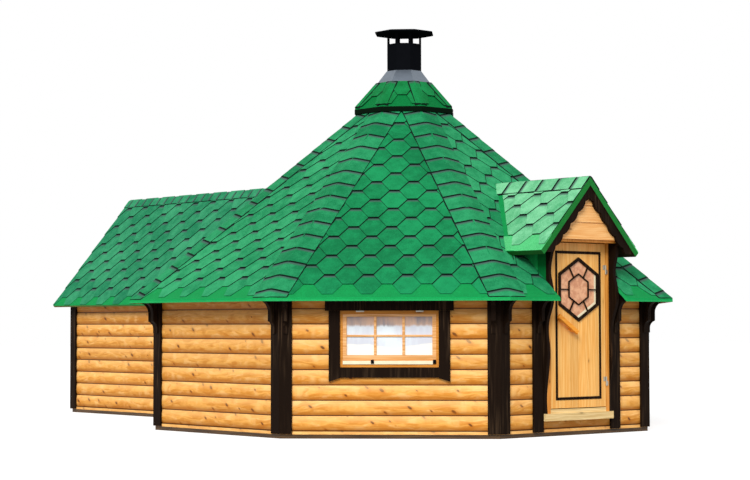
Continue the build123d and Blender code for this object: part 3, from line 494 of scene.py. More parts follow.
# The "side" green is a lighter copy of the "main" green: painted light on the slopes square to the
# four sides.
SHINGLE_GREENS = {
    "main": ((0.0010, 0.128, 0.040), (0.007, 0.245, 0.082)),
    "side": ((0.002, 0.160, 0.055), (0.032, 0.320, 0.128)),
    "hip": ((0.0015, 0.138, 0.046), (0.022, 0.280, 0.108)),
    "dormer": ((0.060, 0.320, 0.135), (0.200, 0.560, 0.300)),
    "annex": ((0.004, 0.142, 0.058), (0.038, 0.285, 0.130)),
    "cap": ((0.0010, 0.120, 0.026), (0.006, 0.225, 0.062)),
}
greens = {name: shingle_felt("shingle_" + name, *tones) for name, tones in SHINGLE_GREENS.items()}
smooth_green = smooth_felt("smooth_felt", (0.0015, 0.185, 0.040), (0.004, 0.275, 0.070))
smooth_light = smooth_felt("smooth_light", (0.040, 0.360, 0.110), (0.110, 0.540, 0.210))
print("greens of the shingles:", *greens)

# %% [markdown]
# ## Roof boards
#
# The CAD roof boards carry three looks: the bright felt is turned down over the edge of the eave,
# pine shows from below, and what lies under the shingles isn't seen. The surface's direction tells
# them apart, so one finish is enough. Below, the boards run along the eave with dark joints.

# %% Deck finish
BOARD_WIDTH = 0.095


def roof_board(name, edge_dark, edge_light, board_dark, board_light):
    """Felt where the surface looks up or outwards, boards where it looks down and in."""
    deck = Finish(name)
    x, y, z = deck.place()
    nx, ny, nz = deck.facing()
    outward = (x * nx + y * ny) / deck.math("SQRT", x * x + y * y)
    below = deck.step(nz, -0.25, -0.45) * deck.step(outward, 0.25, 0.05)
    grain = deck.noise((x * 8.0, y * 8.0, z * 60.0), detail=4.0)
    joint = deck.step(deck.math("FRACT", z / BOARD_WIDTH), 0.07, 0.02)
    pine = deck.mix(deck.step(grain, 0.35, 0.65), board_dark, board_light)
    pine = deck.mix(joint * 0.8, pine, (0.03, 0.012, 0.004))
    speckle, cloud = felt_grain(deck)
    felt = turned_felt(deck, speckle, cloud, nz, edge_dark, edge_light)
    return deck.finish(deck.mix(below, felt, pine), 0.75, 0.15)


def cap_board():
    """Felt on top of the smoke cap, and painted shade, nearly black, on its rim and underside."""
    deck = Finish("cap_board")
    speckle, _ = felt_grain(deck)
    felt = deck.mix(deck.step(speckle, 0.3, 0.7), (0.0010, 0.105, 0.022), (0.005, 0.190, 0.048))
    # Painted shade: the rim and underside are made nearly black.
    under = deck.step(deck.facing()[2], 0.25, 0.15)
    return deck.finish(deck.mix(under, felt, (0.0010, 0.0060, 0.0020)), 0.7, 0.03)


finishes["roof_board"] = roof_board("roof_board", (0.004, 0.200, 0.046), (0.010, 0.290, 0.080),
                                    (0.25, 0.09, 0.012), (0.36, 0.15, 0.030))
# The dormer's boards are nearly black from below: painted shade under the dormer.
finishes["shaded_dormer_board"] = roof_board("shaded_dormer_board", (0.002, 0.085, 0.010), (0.010, 0.150, 0.025),
                                      (0.018, 0.009, 0.004), (0.030, 0.015, 0.007))
finishes["cap_board"] = cap_board()
print("roof boards", BOARD_WIDTH, "m wide, seen from below")

# %% [markdown]
# ## Glass, metal and the rest
#
# The window panes are milky: from outside they show painted reflections, pale with a dusky head, and
# nothing of the room. The door's leaded panes have a rosy amber tint, with a painted highlight on
# two bevelled edges. The chimney is sheet metal, blue-grey on its skirt and black with soot above it.

# %% Glass and metal finishes
def plain(name, colour, roughness, metallic=0.0, gloss=0.5):
    """A finish of one colour with a little mottling in it."""
    made = Finish(name)
    cloud = made.noise(made.here(), 18.0)
    return made.finish(made.lighten(colour, 0.85 + cloud * 0.3), roughness, gloss, Metallic=metallic)


def window_pane():
    """Milky glass, coloured with painted reflections."""
    glass = Finish("window_pane")
    along, z, _ = along_wall(glass)
    low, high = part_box("window_glass")
    rise = (z - low.z) / (high.z - low.z)
    # Painted reflections: soft pale patches, a dusky rosy band at the head and a pale band at the
    # foot.
    wide = glass.noise((along * 3.2, z * 2.0, 0.0), detail=1.0)
    fine = glass.noise((along * 26.0, z * 5.0, 4.0))
    dusky_reflection = glass.step(wide + fine * 0.35, 0.55, 0.80)
    bright = glass.step(wide + fine * 0.3, 0.50, 0.75)
    body = glass.mix(bright, (0.66, 0.68, 0.75), (0.80, 0.88, 0.92))
    head = glass.mix(dusky_reflection, (0.66, 0.430, 0.310), (0.30, 0.27, 0.29))
    at_head = glass.step(rise + (fine - 0.5) * 0.12, 0.72, 0.80)
    at_foot = glass.step(rise + (wide - 0.5) * 0.5, 0.24, 0.19)
    colour = glass.coats(body, (at_head, head), (at_foot, (0.93, 0.91, 0.84)))
    return glass.finish(colour, 0.16, 0.5, Alpha=0.96)


HEXAGON_RISE = 0.1302
HEXAGON_RUN = 0.229
HEXAGON_SLANT = math.atan2(HEXAGON_RISE, HEXAGON_RUN)
BEVEL_HIGHLIGHT = (0.026, 0.020)


def leaded_pane():
    """Rosy amber glass, with a painted highlight along the two bevelled edges that face the light."""
    glass = Finish("leaded_pane")
    x, _, z = glass.place()
    low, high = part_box("door_glass")
    side = high.x - x
    slant = (z - low.z) * math.cos(HEXAGON_SLANT) - x * math.sin(HEXAGON_SLANT)
    waves = glass.noise(glass.here(), 26.0)
    colour = glass.mix(glass.step(waves, 0.35, 0.65), (0.62, 0.26, 0.125), (0.82, 0.42, 0.22))
    # Painted highlight along two edges of the pane only.
    bevel = glass.math("MAXIMUM", glass.step(side, *BEVEL_HIGHLIGHT), glass.step(slant, *BEVEL_HIGHLIGHT))
    colour = glass.mix(bevel, colour, (0.90, 0.78, 0.52))
    return glass.finish(colour, 0.2, 0.5, Normal=glass.bump(waves, 0.002))


PLAIN = {
    "pale_strip": ((0.90, 0.76, 0.52), 0.6, 0.0, 0.2),
    "zinc": ((0.42, 0.38, 0.31), 0.42, 0.7),
    "skirt_metal": ((0.165, 0.195, 0.235), 0.30, 0.75),
    "soot_metal": ((0.0042, 0.0046, 0.0060), 0.48, 0.0, 0.0),
}
for name, look in PLAIN.items():
    finishes[name] = plain(name, *look)
finishes["window_pane"] = window_pane()
finishes["leaded_pane"] = leaded_pane()
print("finishes:", len(finishes))

# %% [markdown]
# ## Finish each CAD node
#
# A CAD node keeps its shape, and only its material slot is filled anew. The list says which finish
# goes on which nodes, and a node that was forgotten would be named in the printout.

# %% Put the finishes on the nodes
node_finishes = {
    "log_pine": ("front_walls", "wall_below_door", "window_walls", "side_walls", "back_walls",
                 "passage_posts", "annex_side_walls", "annex_end_wall"),
    "base_timber": ("base_beams", "floor_joists"),
    "floor_board": ("floor_panels",),
    "gable_pine": ("gable_boards",),
    "dark_board": ("corner_boards", "eave_brackets", "door_planks", "door_moulding",
                   "door_hexagon", "window_trim", "bargeboards"),
    "cheek_board": ("door_cheeks",),
    "shaded_frame_pine": ("door_frame_posts", "door_head"),
    "fresh_pine": ("door_threshold",),
    "door_pine": ("door_leaf",),
    "leaded_pane": ("door_glass",),
    "handle_pine": ("door_handle",),
    "zinc": ("leaf_hinges", "frame_hinges"),
    "casing_pine": ("window_frames",),
    "sash_pine": ("window_sashes",),
    "window_pane": ("window_glass",),
    "roof_board": ("roof_front", "roof_back", "roof_sides", "roof_front_corners",
                   "roof_back_corners", "annex_roof", "dormer_sides", "roof_crown"),
    "shaded_dormer_board": ("dormer_roof",),
    "cap_board": ("cap_roof",),
    "skirt_metal": ("chimney_skirt",),
    "soot_metal": ("chimney_stack", "chimney_stubs", "chimney_lid"),
}
dressed = set()
for finish, nodes in node_finishes.items():
    for name in nodes:
        for slot in frame["nodes"][name].material_slots:
            slot.material = finishes[finish]
        dressed.add(name)
print("not dressed:", sorted(set(frame["nodes"]) - dressed))

# %% [markdown]
# ## One shingle tab
#
# Hexagonal felt shingles come in strips of three tabs. A tab is a little trapezium at the foot of
# the strip, and the next row hides all but a hexagon of it. It is enough to model one tab with its
# share of the strip above it, once, and repeat that. Each row lies on the one below, so the tab is
# tilted: its foot is high and its head rests on the boards. Its mesh stores how far each corner is
# from the edges of the next row, for the marks of its finish. Each roof has its own width of tab
# and its own height of row, which together are called its lay.

# %% Draw the tab
TAB_FOOT = 0.092
TAB_SLOT = 0.085
STRIP_TALL = 0.290
FELT = 0.004
# A sheet is a little thinner than the step from row to row, so that two rows don't touch.
SHEET = FELT - 0.0003
BUTT_RISE = FELT * 3.3
MAIN_LAY = (0.339, 0.1333)
DORMER_LAY = (0.335, 0.1325)
ANNEX_LAY = (0.331, 0.137)
CAP_LAY = (0.290, 0.120)


def ringed(name, rings):
    """A closed solid through rings of equally many corners. The first ring is its upper side."""
    count = len(rings[0])
    last = count * (len(rings) - 1)
    faces = [list(range(count)), list(range(last + count - 1, last - 1, -1))]
    for start in range(0, last, count):
        for k in range(count):
            after = (k + 1) % count
            faces.append([start + k, start + k + count, start + after + count, start + after])
    mesh = bpy.data.meshes.new(name)
    mesh.from_pydata([corner for ring in rings for corner in ring], [], faces)
    return mesh


def store(mesh, name, domain, values):
    """Writes one number for each point or face of a mesh."""
    layer = mesh.attributes.new(name, "FLOAT", domain)
    layer.data.foreach_set("value", values)


def shingle_tab(pitch, exposure):
    """A tab and its share of the strip, its corners anticlockwise from the foot's left end."""
    foot, shoulder, side = TAB_FOOT / 2, (pitch - TAB_SLOT) / 2, pitch / 2
    outline = [(-foot, 0), (foot, 0), (shoulder, exposure), (side, exposure), (side, STRIP_TALL),
               (-side, STRIP_TALL), (-side, exposure), (-shoulder, exposure)]
    slant = math.atan2(shoulder - foot, exposure)
    drop = FELT / exposure

    def from_slant(across, up):
        """Distance to the slanted edge of the next row's tab on the right."""
        return (side - foot - across) * math.cos(slant) + (exposure - up) * math.sin(slant)

    mesh = ringed("shingle_tab", [[(x, y, BUTT_RISE - y * drop - layer) for x, y in outline]
                                  for layer in (0.0, SHEET)])
    store(mesh, "below_lap", "POINT", [2 * exposure - y for _, y in outline] * 2)
    store(mesh, "right_lap", "POINT", [from_slant(x, y) for x, y in outline] * 2)
    store(mesh, "left_lap", "POINT", [from_slant(-x, y) for x, y in outline] * 2)
    store(mesh, "edge", "FACE", [0.0, 1.0] + [1.0] * len(outline))
    return bpy.data.objects.new("shingle_tab", mesh)


tabs = {lay: shingle_tab(*lay) for lay in (MAIN_LAY, DORMER_LAY, ANNEX_LAY, CAP_LAY)}
print("tab faces:", len(tabs[MAIN_LAY].data.polygons))

# %% [markdown]
# ## A rule that lays rows
#
# Laying is counting: so many tabs in a row, so many rows, and every second row moved half a tab.
# Geometry Nodes do this with one set of points, whose places come from their own numbers. Each
# point gets the piece and a random tone. A line of caps over a ridge follows the same rule, with one
# piece in a row. The tree ends in real faces, because the export leaves instances out.

# %% The laying rule
def laying_rule():
    """The tree that lays a piece in rows: its named inputs, the points, and the piece on them."""
    group = bpy.data.node_groups.new("felt in rows", "GeometryNodeTree")
    inputs = {"Float": ("Pitch", "Exposure", "Start", "Odd row shift", "Foot"),
              "Int": ("Columns", "Rows", "Seed"), "Object": ("Piece",), "Material": ("Finish",)}
    for kind, labels in inputs.items():
        for label in labels:
            group.interface.new_socket(name=label, in_out="INPUT", socket_type="NodeSocket" + kind)
    group.interface.new_socket(name="Geometry", in_out="OUTPUT", socket_type="NodeSocketGeometry")
    tree = Tree(group)
    source = group.nodes.new("NodeGroupInput")
    given = {label: Value(tree, source.outputs[label])
             for labels in inputs.values() for label in labels}

    index = tree.node("GeometryNodeInputIndex")
    row = tree.math("FLOOR", (index + 0.5) / given["Columns"])
    column = index - row * given["Columns"]
    odd = tree.math("MODULO", row, 2.0)
    across = given["Start"] + column * given["Pitch"] + odd * given["Odd row shift"]
    place = tree.vector(across, given["Foot"] + row * given["Exposure"], 0.0)
    points = tree.node("GeometryNodePoints", None,
                       {"Count": given["Columns"] * given["Rows"], "Position": place})

    piece = tree.node("GeometryNodeObjectInfo", None, {"Object": given["Piece"]}, 4)
    placed = tree.node("GeometryNodeInstanceOnPoints", None, {"Points": points, "Instance": piece})
    tone = tree.node("FunctionNodeRandomValue", {"data_type": "FLOAT"},
                     {"ID": index, "Seed": given["Seed"]}, 1)
    named = tree.node("GeometryNodeStoreNamedAttribute",
                      {"data_type": "FLOAT", "domain": "INSTANCE"},
                      {"Geometry": placed, "Name": "tone", "Value": tone})
    real = tree.node("GeometryNodeRealizeInstances", None, {"Geometry": named})
    painted = tree.node("GeometryNodeSetMaterial", None,
                        {"Geometry": real, "Material": given["Finish"]})
    tree.node("NodeGroupOutput", None, {"Geometry": painted})
    return group


def lay_rows(name, piece, finish, seed, rows, exposure, foot, columns=1, pitch=0.0, start=0.0):
    """Runs the rule and gives rows of a piece as a plain mesh."""
    values = {"Columns": columns, "Rows": rows, "Pitch": pitch, "Exposure": exposure,
              "Start": start, "Odd row shift": pitch / 2, "Foot": foot, "Seed": seed,
              "Piece": piece, "Finish": finish}
    carrier = bpy.data.objects.new(name, bpy.data.meshes.new(name))
    bpy.context.scene.collection.objects.link(carrier)
    modifier = carrier.modifiers.new("rule", "NODES")
    modifier.node_group = felt_rule
    for item in felt_rule.interface.items_tree:
        if item.in_out == "INPUT":
            modifier[item.identifier] = values[item.name]
    bpy.context.view_layer.update()
    seen = carrier.evaluated_get(bpy.context.evaluated_depsgraph_get())
    mesh = bpy.data.meshes.new_from_object(seen)
    mesh.name = name
    mesh.materials.clear()
    mesh.materials.append(finish)
    mesh.polygons.foreach_set("material_index", [0] * len(mesh.polygons))
    bpy.data.objects.remove(carrier)
    return mesh


felt_rule = laying_rule()
print("nodes of the rule:", len(felt_rule.nodes))

# %% [markdown]
# ## Cut and join
#
# Rows are laid too wide and then cut to the slope, as a roofer does. A cut is a plane: what lies on
# the side that its direction points to is dropped, and the open ends are closed again. Four small
# functions name the planes that the hut needs: square to X or Y, and above or below a slope.

# %% Cutting helpers
def beyond_x(place, sign):
    """The plane square to X at one place. It cuts what lies further in the direction of sign."""
    return Vector((place, 0, 0)), Vector((sign, 0, 0))


def beyond_y(place, sign):
    """The same, square to Y."""
    return Vector((0, place, 0)), Vector((0, sign, 0))


def above(slope, lift=0.0):
    """The plane of a slope, lifted off its boards. It cuts what lies above it."""
    normal = slope.col[2].to_3d()
    return slope.translation + normal * lift, normal


def below(slope, lift=0.0):
    """The same plane, to cut what lies below it."""
    point, normal = above(slope, lift)
    return point, -normal


def cut(mesh, planes):
    """Cuts a mesh with planes, each a point and the direction that is cut away."""
    work = bmesh.new()
    work.from_mesh(mesh)
    for point, away in planes:
        everything = work.verts[:] + work.edges[:] + work.faces[:]
        result = bmesh.ops.bisect_plane(work, geom=everything, plane_co=point, plane_no=away,
                                        dist=1e-6, clear_outer=True)
        rim = [part for part in result["geom_cut"] if isinstance(part, bmesh.types.BMEdge)]
        closed = bmesh.ops.edgeloop_fill(work, edges=rim)["faces"] if rim else []
        marks = work.faces.layers.float.get("edge")
        for face in closed if marks else ():
            face[marks] = 1.0
    bmesh.ops.recalc_face_normals(work, faces=work.faces[:])
    work.to_mesh(mesh)
    work.free()
    return mesh


def join(name, meshes, body="hut"):
    """Puts several meshes, each of one finish, into one object that rides on a body of the hut."""
    whole = bmesh.new()
    finishes_used = []
    for mesh in meshes:
        start = len(whole.faces)
        whole.from_mesh(mesh)
        whole.faces.ensure_lookup_table()
        if mesh.materials[0] not in finishes_used:
            finishes_used.append(mesh.materials[0])
        for face in whole.faces[start:]:
            face.material_index = finishes_used.index(mesh.materials[0])
    made = bpy.data.meshes.new(name)
    whole.to_mesh(made)
    whole.free()
    for material in finishes_used:
        made.materials.append(material)
    piece = bpy.data.objects.new(name, made)
    bpy.context.scene.collection.objects.link(piece)
    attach(piece, body)
    print(name, "faces:", len(made.polygons))
    return piece


# %% [markdown]
# ## Shingles on the eight main slopes
#
# The rows start a little above the eave, so that the smooth starter strip shows below and in the
# first notches. Each slope is cut where its neighbours begin, which is a plane through the hip. The
# front slope is cut again round the dormer, beside it and under its boards, and the back slope where
# the annex roof joins.

# %% Main slopes
HALF_SIDE = 22.5
HALF_TURN = math.radians(HALF_SIDE)
ROWS_MAIN = 21
TAB_START, FIRST_BUTT = 0.1575, 0.052
SIDE_START, SIDE_BUTT = 0.1235, 0.042
EAVE_CUT = 0.004
# Clearances: between faces that would coincide, over boards, and under the dormer's slopes.
HAIR = 0.001
OFF_BOARDS = 0.002
UNDER_DORMER = 0.054


def rows_on(system, name, wide, rows, finish, lay, start, foot, seed):
    """Lays rows over a slope, wide metres to each side of its middle, and puts them in place."""
    pitch, exposure = lay
    side = math.ceil(wide / pitch) + 1
    mesh = lay_rows(name, tabs[lay], finish, seed, rows, exposure, foot,
                    2 * side, pitch, start % pitch - side * pitch)
    cut(mesh, [beyond_y(EAVE_CUT, -1)])
    mesh.transform(system)
    return mesh


def hip_planes(degrees):
    """The two upright planes through the hips beside a main slope."""
    return [(Vector((0, 0, 0)), UP.cross(heading(degrees + HALF_SIDE * sign)) * sign)
            for _, sign in SIDES]


half_width = MAIN_REACH * math.tan(HALF_TURN)
dormer_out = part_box("dormer_roof")[1].x + OFF_BOARDS
cheek_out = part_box("door_cheeks")[1].x + HAIR
fields = []
for number, (side, system) in enumerate(main_slopes.items()):
    start, foot = (SIDE_START, SIDE_BUTT) if side in ("left", "right") else (TAB_START, FIRST_BUTT)
    # Painted light: the slopes square to the four sides get the lighter green.
    green = greens["side" if side in ("left", "right", "front", "back") else "main"]
    mesh = rows_on(system, side, half_width, ROWS_MAIN, green, MAIN_LAY, start, foot, number)
    cut(mesh, hip_planes(MAIN_NODES[side][1]))
    if side not in ("front", "back"):
        fields.append(mesh)
        continue
    for half, sign in SIDES:
        if side == "back":
            regions = [[beyond_x(0, -sign), below(annex_slopes[half], OFF_BOARDS)]]
        else:
            slope, within = dormer_slopes[half], beyond_x(sign * dormer_out, sign)
            regions = [[beyond_x(sign * dormer_out, -sign)],
                       [beyond_x(sign * cheek_out, -sign), within, above(slope, -UNDER_DORMER)],
                       [beyond_x(0, -sign), within, below(slope, OFF_BOARDS)]]
        fields += [cut(mesh.copy(), region) for region in regions]
join("main_shingles", fields)

# %% [markdown]
# ## Shingles on the dormer and the annex
#
# The same tabs go on the two gabled roofs. They stop short of the valley, where a smooth strip of
# felt covers the joint with the main roof.

# %% Gabled slopes
VALLEY_SHOWS = 0.052
DORMER_START, DORMER_BUTT, DORMER_ROWS, DORMER_HALF = 2.1275, 0.0675, 6, 2.6
ANNEX_START, ANNEX_BUTT, ANNEX_ROWS, ANNEX_HALF = -4.5545, -0.023, 12, 5.0


def gable_field(name, slopes, main, ends, finish, lay, start, foot, rows, reach):
    """Rows on both slopes of a gabled roof, cut at the ridge, at both ends and at the valley."""
    made = []
    for number, (side, sign) in enumerate(SIDES):
        mesh = rows_on(slopes[side], name, reach, rows, finish, lay, -sign * start, foot, 20 + number)
        made.append(cut(mesh, [beyond_x(0, -sign)] + ends + [below(main, VALLEY_SHOWS)]))
    return join(name, made)


dormer_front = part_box("dormer_roof")[0].y + HAIR
annex_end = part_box("annex_roof")[1].y - HAIR
dormer = dormer_slopes, main_slopes["front"], [beyond_y(dormer_front, -1), beyond_y(0, 1)]
annex = annex_slopes, main_slopes["back"], [beyond_y(annex_end, 1), beyond_y(0, -1)]
gable_field("dormer_shingles", *dormer, greens["dormer"], DORMER_LAY, DORMER_START, DORMER_BUTT,
            DORMER_ROWS, DORMER_HALF)
gable_field("annex_shingles", *annex, greens["annex"], ANNEX_LAY, ANNEX_START, ANNEX_BUTT,
            ANNEX_ROWS, ANNEX_HALF)

# %% [markdown]
# ## Shingles on the smoke cap
#
# The little roof over the smoke opening has the same felt in smaller tabs, three rows of it on each of
# its eight sides. Its slopes and its corners are measured as those of the main roof were.

# %% Smoke cap
CAP_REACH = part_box("cap_roof")[1].x
CAP_ROWS = 3
CAP_FIRST_BUTT = 0.030
cap_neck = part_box("chimney_skirt")[0].z
cap_slopes = {turn: slope_system("cap_roof", turn, CAP_REACH) for turn in range(0, 360, 45)}
cap_half = CAP_REACH * math.tan(HALF_TURN)
neck_plane = (UP * (cap_neck - HAIR), UP)
cap_fields = []
for turn, system in cap_slopes.items():
    mesh = rows_on(system, "cap", cap_half, CAP_ROWS, greens["cap"], CAP_LAY, CAP_LAY[0] / 2,
                   CAP_FIRST_BUTT, turn)
    cap_fields.append(cut(mesh, hip_planes(turn) + [neck_plane]))
join("cap_shingles", cap_fields)

# %% [markdown]
# ## Hip and ridge caps
#
# A hip is closed with short pieces of felt that are bent over it, each lapping the one below. The
# fold is part of the piece, so the cap is drawn in the section across the hip, with a soft bend in
# the middle, and then drawn out along it. Its lowest edge is turned down to the felt below. The same
# function makes the flat caps of the hips and the sharp ones of the ridges, because only the angle
# of the fold differs. On the smoke cap one long piece covers each hip.

# %% Bent caps
CAP_RISE = BUTT_RISE + FELT + 0.0008
CAP_LIP = CAP_RISE - FELT * 1.5
CAP_SKIRT = 0.012


def cap_piece(name, fold, wing, exposure, length, bend):
    """A cap over a fold: both wings fall by the fold angle from the middle. Y runs up the hip."""
    fall = Vector((math.cos(fold), -math.sin(fold)))

    def section(across, height):
        """A point of the section: so far across along the felt, and so high over its bed."""
        reach = abs(across)
        point = fall * reach
        if reach < bend:
            t = (1 - reach / bend) / 2
            point = fall * bend * (1 - t) ** 2 + Vector((-fall.x, fall.y)) * bend * t ** 2
        lean = fold * min(1.0, reach / bend)
        point += Vector((math.sin(lean), math.cos(lean))) * height
        return math.copysign(point.x, across), point.y

    stations = [-wing, -bend, -bend / 2, 0.0, bend / 2, bend, wing]
    corners, laps = [], []
    for layer in (0.0, SHEET):
        for y in (0.0, length):
            height = CAP_RISE - y * FELT / exposure - layer
            for across in stations:
                outermost = layer and abs(across) == wing
                lip = CAP_LIP if outermost and y == 0 else 0.0
                reach = across * (1 + CAP_SKIRT / wing) if outermost else across
                x, z = section(reach, height - lip)
                corners.append((x, y, z))
                laps.append(exposure - y)
    wide = len(stations)
    faces, edges = [], []
    for k in range(wide - 1):
        under = 2 * wide + k
        faces += [[k, k + 1, k + 1 + wide, k + wide],
                  [under, under + wide, under + 1 + wide, under + 1],
                  [k, under, under + 1, k + 1],
                  [k + wide, k + 1 + wide, under + 1 + wide, under + wide]]
        edges += [0.0, 1.0, 1.0, 1.0]
    for k in (0, wide - 1):
        side = [k, k + wide, 3 * wide + k, 2 * wide + k]
        faces.append(side if k == 0 else side[::-1])
        edges.append(1.0)
    mesh = bpy.data.meshes.new(name)
    mesh.from_pydata(corners, [], faces)
    store(mesh, "below_lap", "POINT", laps)
    for label in ("right_lap", "left_lap"):
        store(mesh, label, "POINT", [1.0] * len(laps))
    store(mesh, "edge", "FACE", edges)
    return bpy.data.objects.new(name, mesh)


def line_system(low, high, outward):
    """Axes for pieces along a line: across, along and out."""
    along = (high - low).normalized()
    out = (outward - along * outward.dot(along)).normalized()
    across = along.cross(out)
    columns = Matrix((across, along, out)).transposed().to_4x4()
    return Matrix.Translation(low) @ columns


def cap_row(name, piece, system, length, exposure, start, finish, seed):
    """Caps along a line, cut at both of its ends."""
    rows = math.ceil((length - start) / exposure)
    mesh = lay_rows(name, piece, finish, seed, rows, exposure, start)
    cut(mesh, [beyond_y(HAIR, -1), beyond_y(length, 1)])
    mesh.transform(system)
    return mesh


# %% Caps on the hips
HIP_WING = 0.167
HIP_EXPOSURE = 0.198
HIP_FIRST = 0.133
HIP_LENGTH = 0.30
HIP_BEND = 0.035
CAP_WING = 0.052
SHARP_BEND = 0.02
ANNEX_FELT = 0.012


def hip_line(number, slope, reach, top_reach):
    """Axes along one hip of an eight-sided roof, its length and the angle of its fold."""
    pitch, foot_z = math.acos(slope.col[2].z), slope.translation.z
    away = heading(HALF_SIDE + 45 * number)
    rise = (reach - top_reach) * math.tan(pitch)
    low = away * (reach / math.cos(HALF_TURN)) + UP * foot_z
    high = away * (top_reach / math.cos(HALF_TURN)) + UP * (foot_z + rise)
    system = line_system(low, high, away + UP)
    beside = heading(45 * number) * math.sin(pitch) + UP * math.cos(pitch)
    return system, (high - low).length, math.acos(system.col[2].to_3d().dot(beside))


def eave_planes(number, reach):
    """The upright planes at the two eaves that meet in a hip."""
    sides = heading(45 * number), heading(45 * number + 45)
    return [(side * (reach - HAIR), side) for side in sides]


crown_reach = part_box("roof_crown")[1].x
cap_rise = cap_neck - cap_slopes[0].translation.z
neck_reach = CAP_REACH - cap_rise / math.tan(math.acos(cap_slopes[0].col[2].z))
hips = []
for number in range(8):
    system, length, fold = hip_line(number, main_slopes["left"], MAIN_REACH, crown_reach)
    piece = cap_piece("hip_cap", fold, HIP_WING, HIP_EXPOSURE, HIP_LENGTH, HIP_BEND)
    mesh = cap_row("hip", piece, system, length, HIP_EXPOSURE, HIP_FIRST - HIP_EXPOSURE,
                   greens["hip"], 40 + number)
    planes = eave_planes(number, MAIN_REACH)
    if number in (1, 2):
        planes.append(below(annex_slopes["right" if number == 1 else "left"], ANNEX_FELT))
    hips.append(cut(mesh, planes))
for number in range(8):
    system, length, fold = hip_line(number, cap_slopes[0], CAP_REACH, neck_reach)
    piece = cap_piece("cap_hip", fold, CAP_WING, length, length, SHARP_BEND)
    mesh = cap_row("cap_hip", piece, system, length, length, 0.0, greens["cap"], 50 + number)
    hips.append(cut(mesh, eave_planes(number, CAP_REACH) + [neck_plane]))
join("hip_caps", hips)

# %% Caps on the ridges
RIDGE_LAP = 0.08
DORMER_RIDGE = {"wing": 0.155, "exposure": 0.2117, "first": 0.158}
ANNEX_RIDGE = {"wing": 0.114, "exposure": 0.145, "first": 0.10}


def ridge_row(name, node, slopes, main, open_end, wing, exposure, first, finish, seed):
    """Caps over the ridge of a gabled roof, from its open end to the main roof."""
    point, normal = above(main)
    ridge_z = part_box(node)[1].z
    joint_y = point.y - (ridge_z - point.z) * normal.z / normal.y
    low, high = Vector((0, open_end, ridge_z)), Vector((0, joint_y, ridge_z))
    fold = math.acos(slopes["left"].col[2].z)
    piece = cap_piece(name, fold, wing, exposure, exposure + RIDGE_LAP, SHARP_BEND)
    return cap_row(name, piece, line_system(low, high, UP), (high - low).length, exposure,
                   first - exposure, finish, seed)


join("ridge_caps", [
    ridge_row("dormer_ridge", "dormer_roof", dormer_slopes, main_slopes["front"], dormer_front,
              **DORMER_RIDGE, finish=greens["dormer"], seed=61),
    ridge_row("annex_ridge", "annex_roof", annex_slopes, main_slopes["back"], annex_end,
              **ANNEX_RIDGE, finish=greens["annex"], seed=62)])

# %% [markdown]
# ## Starter strips
#
# Below the first row lies a smooth strip. It fills the wedge under the first butts, and it is what
# one sees of the eave from the ground: a bright even line.

# %% Starter strips along the eaves
STARTER_RISE = 0.0088
STARTER_SECTION = ((0.0020, 0.0003), (0.0062, STARTER_RISE - 0.003), (0.0090, STARTER_RISE),
                   (0.19, 0.0055), (0.19, 0.0003))
MAIN_SPARE = 0.05
GABLE_HALF = 6.0
JOINT_LIFT = 0.0005


def strip_section(name, system, half, section, finish):
    """A straight bar along a slope, half metres to each side, from a section of (up, out) corners."""
    mesh = ringed(name, [[(x, up, out) for up, out in section] for x in (-half, half)])
    mesh.materials.append(finish)
    mesh.transform(system)
    return mesh


starters = []
for side, system in main_slopes.items():
    planes = hip_planes(MAIN_NODES[side][1])
    strip = strip_section("starter", system, half_width + MAIN_SPARE, STARTER_SECTION, smooth_green)
    if side == "front":
        starters += [cut(strip.copy(), planes + [beyond_x(sign * cheek_out, -sign)])
                     for _, sign in SIDES]
    elif side != "back":
        starters.append(cut(strip, planes))
for (slopes, main, ends), finish in ((dormer, smooth_light), (annex, smooth_green)):
    for system in slopes.values():
        strip = strip_section("starter", system, GABLE_HALF, STARTER_SECTION, finish)
        starters.append(cut(strip, ends + [below(main, JOINT_LIFT)]))
join("eave_strips", starters)

# %% [markdown]
# ## Valley strips
#
# Where a gabled roof runs into the main roof, a smooth strip of felt is laid in the corner before
# the shingles. What shows of it is its wing on the gabled slope. The wing is a thin sheet on that
# slope, cut by the main slope on one side and by a plane beside it on the other.

# %% Valley strips
VALLEY_SECTION = ((0.0, 0.0003), (0.0, 0.0045), (3.0, 0.0045), (3.0, 0.0003))
VALLEY_WIDE = VALLEY_SHOWS + 0.02

valleys = []
for slopes, main, ends in (dormer, annex):
    for side, sign in SIDES:
        sheet = strip_section("valley", slopes[side], GABLE_HALF, VALLEY_SECTION, smooth_green)
        valleys.append(cut(sheet, [below(main, JOINT_LIFT), above(main, VALLEY_WIDE), ends[1],
                                   beyond_x(0, -sign)]))
join("valley_strips", valleys)

# %% [markdown]
# ## Small parts of the windows
#
# Two upright bars and one level bar divide each window into six panes. Below the sash is a pale
# drip strip with two black latches, and two small steel plates hold the sash at its head. All are
# bars with slightly rounded edges, placed in a system of axes on the wall: to the right, up and out.

# %% Bars on a wall
def wall_system(degrees, face):
    """Axes on an upright wall: right as seen from outside, up and out. Its origin is on the ground."""
    outward = heading(degrees)
    columns = Matrix((UP.cross(outward), UP, outward)).transposed().to_4x4()
    return Matrix.Translation(outward * face) @ columns


def about(middle, size):
    """The two ends of a stretch, from its middle and its size."""
    return middle - size / 2, middle + size / 2


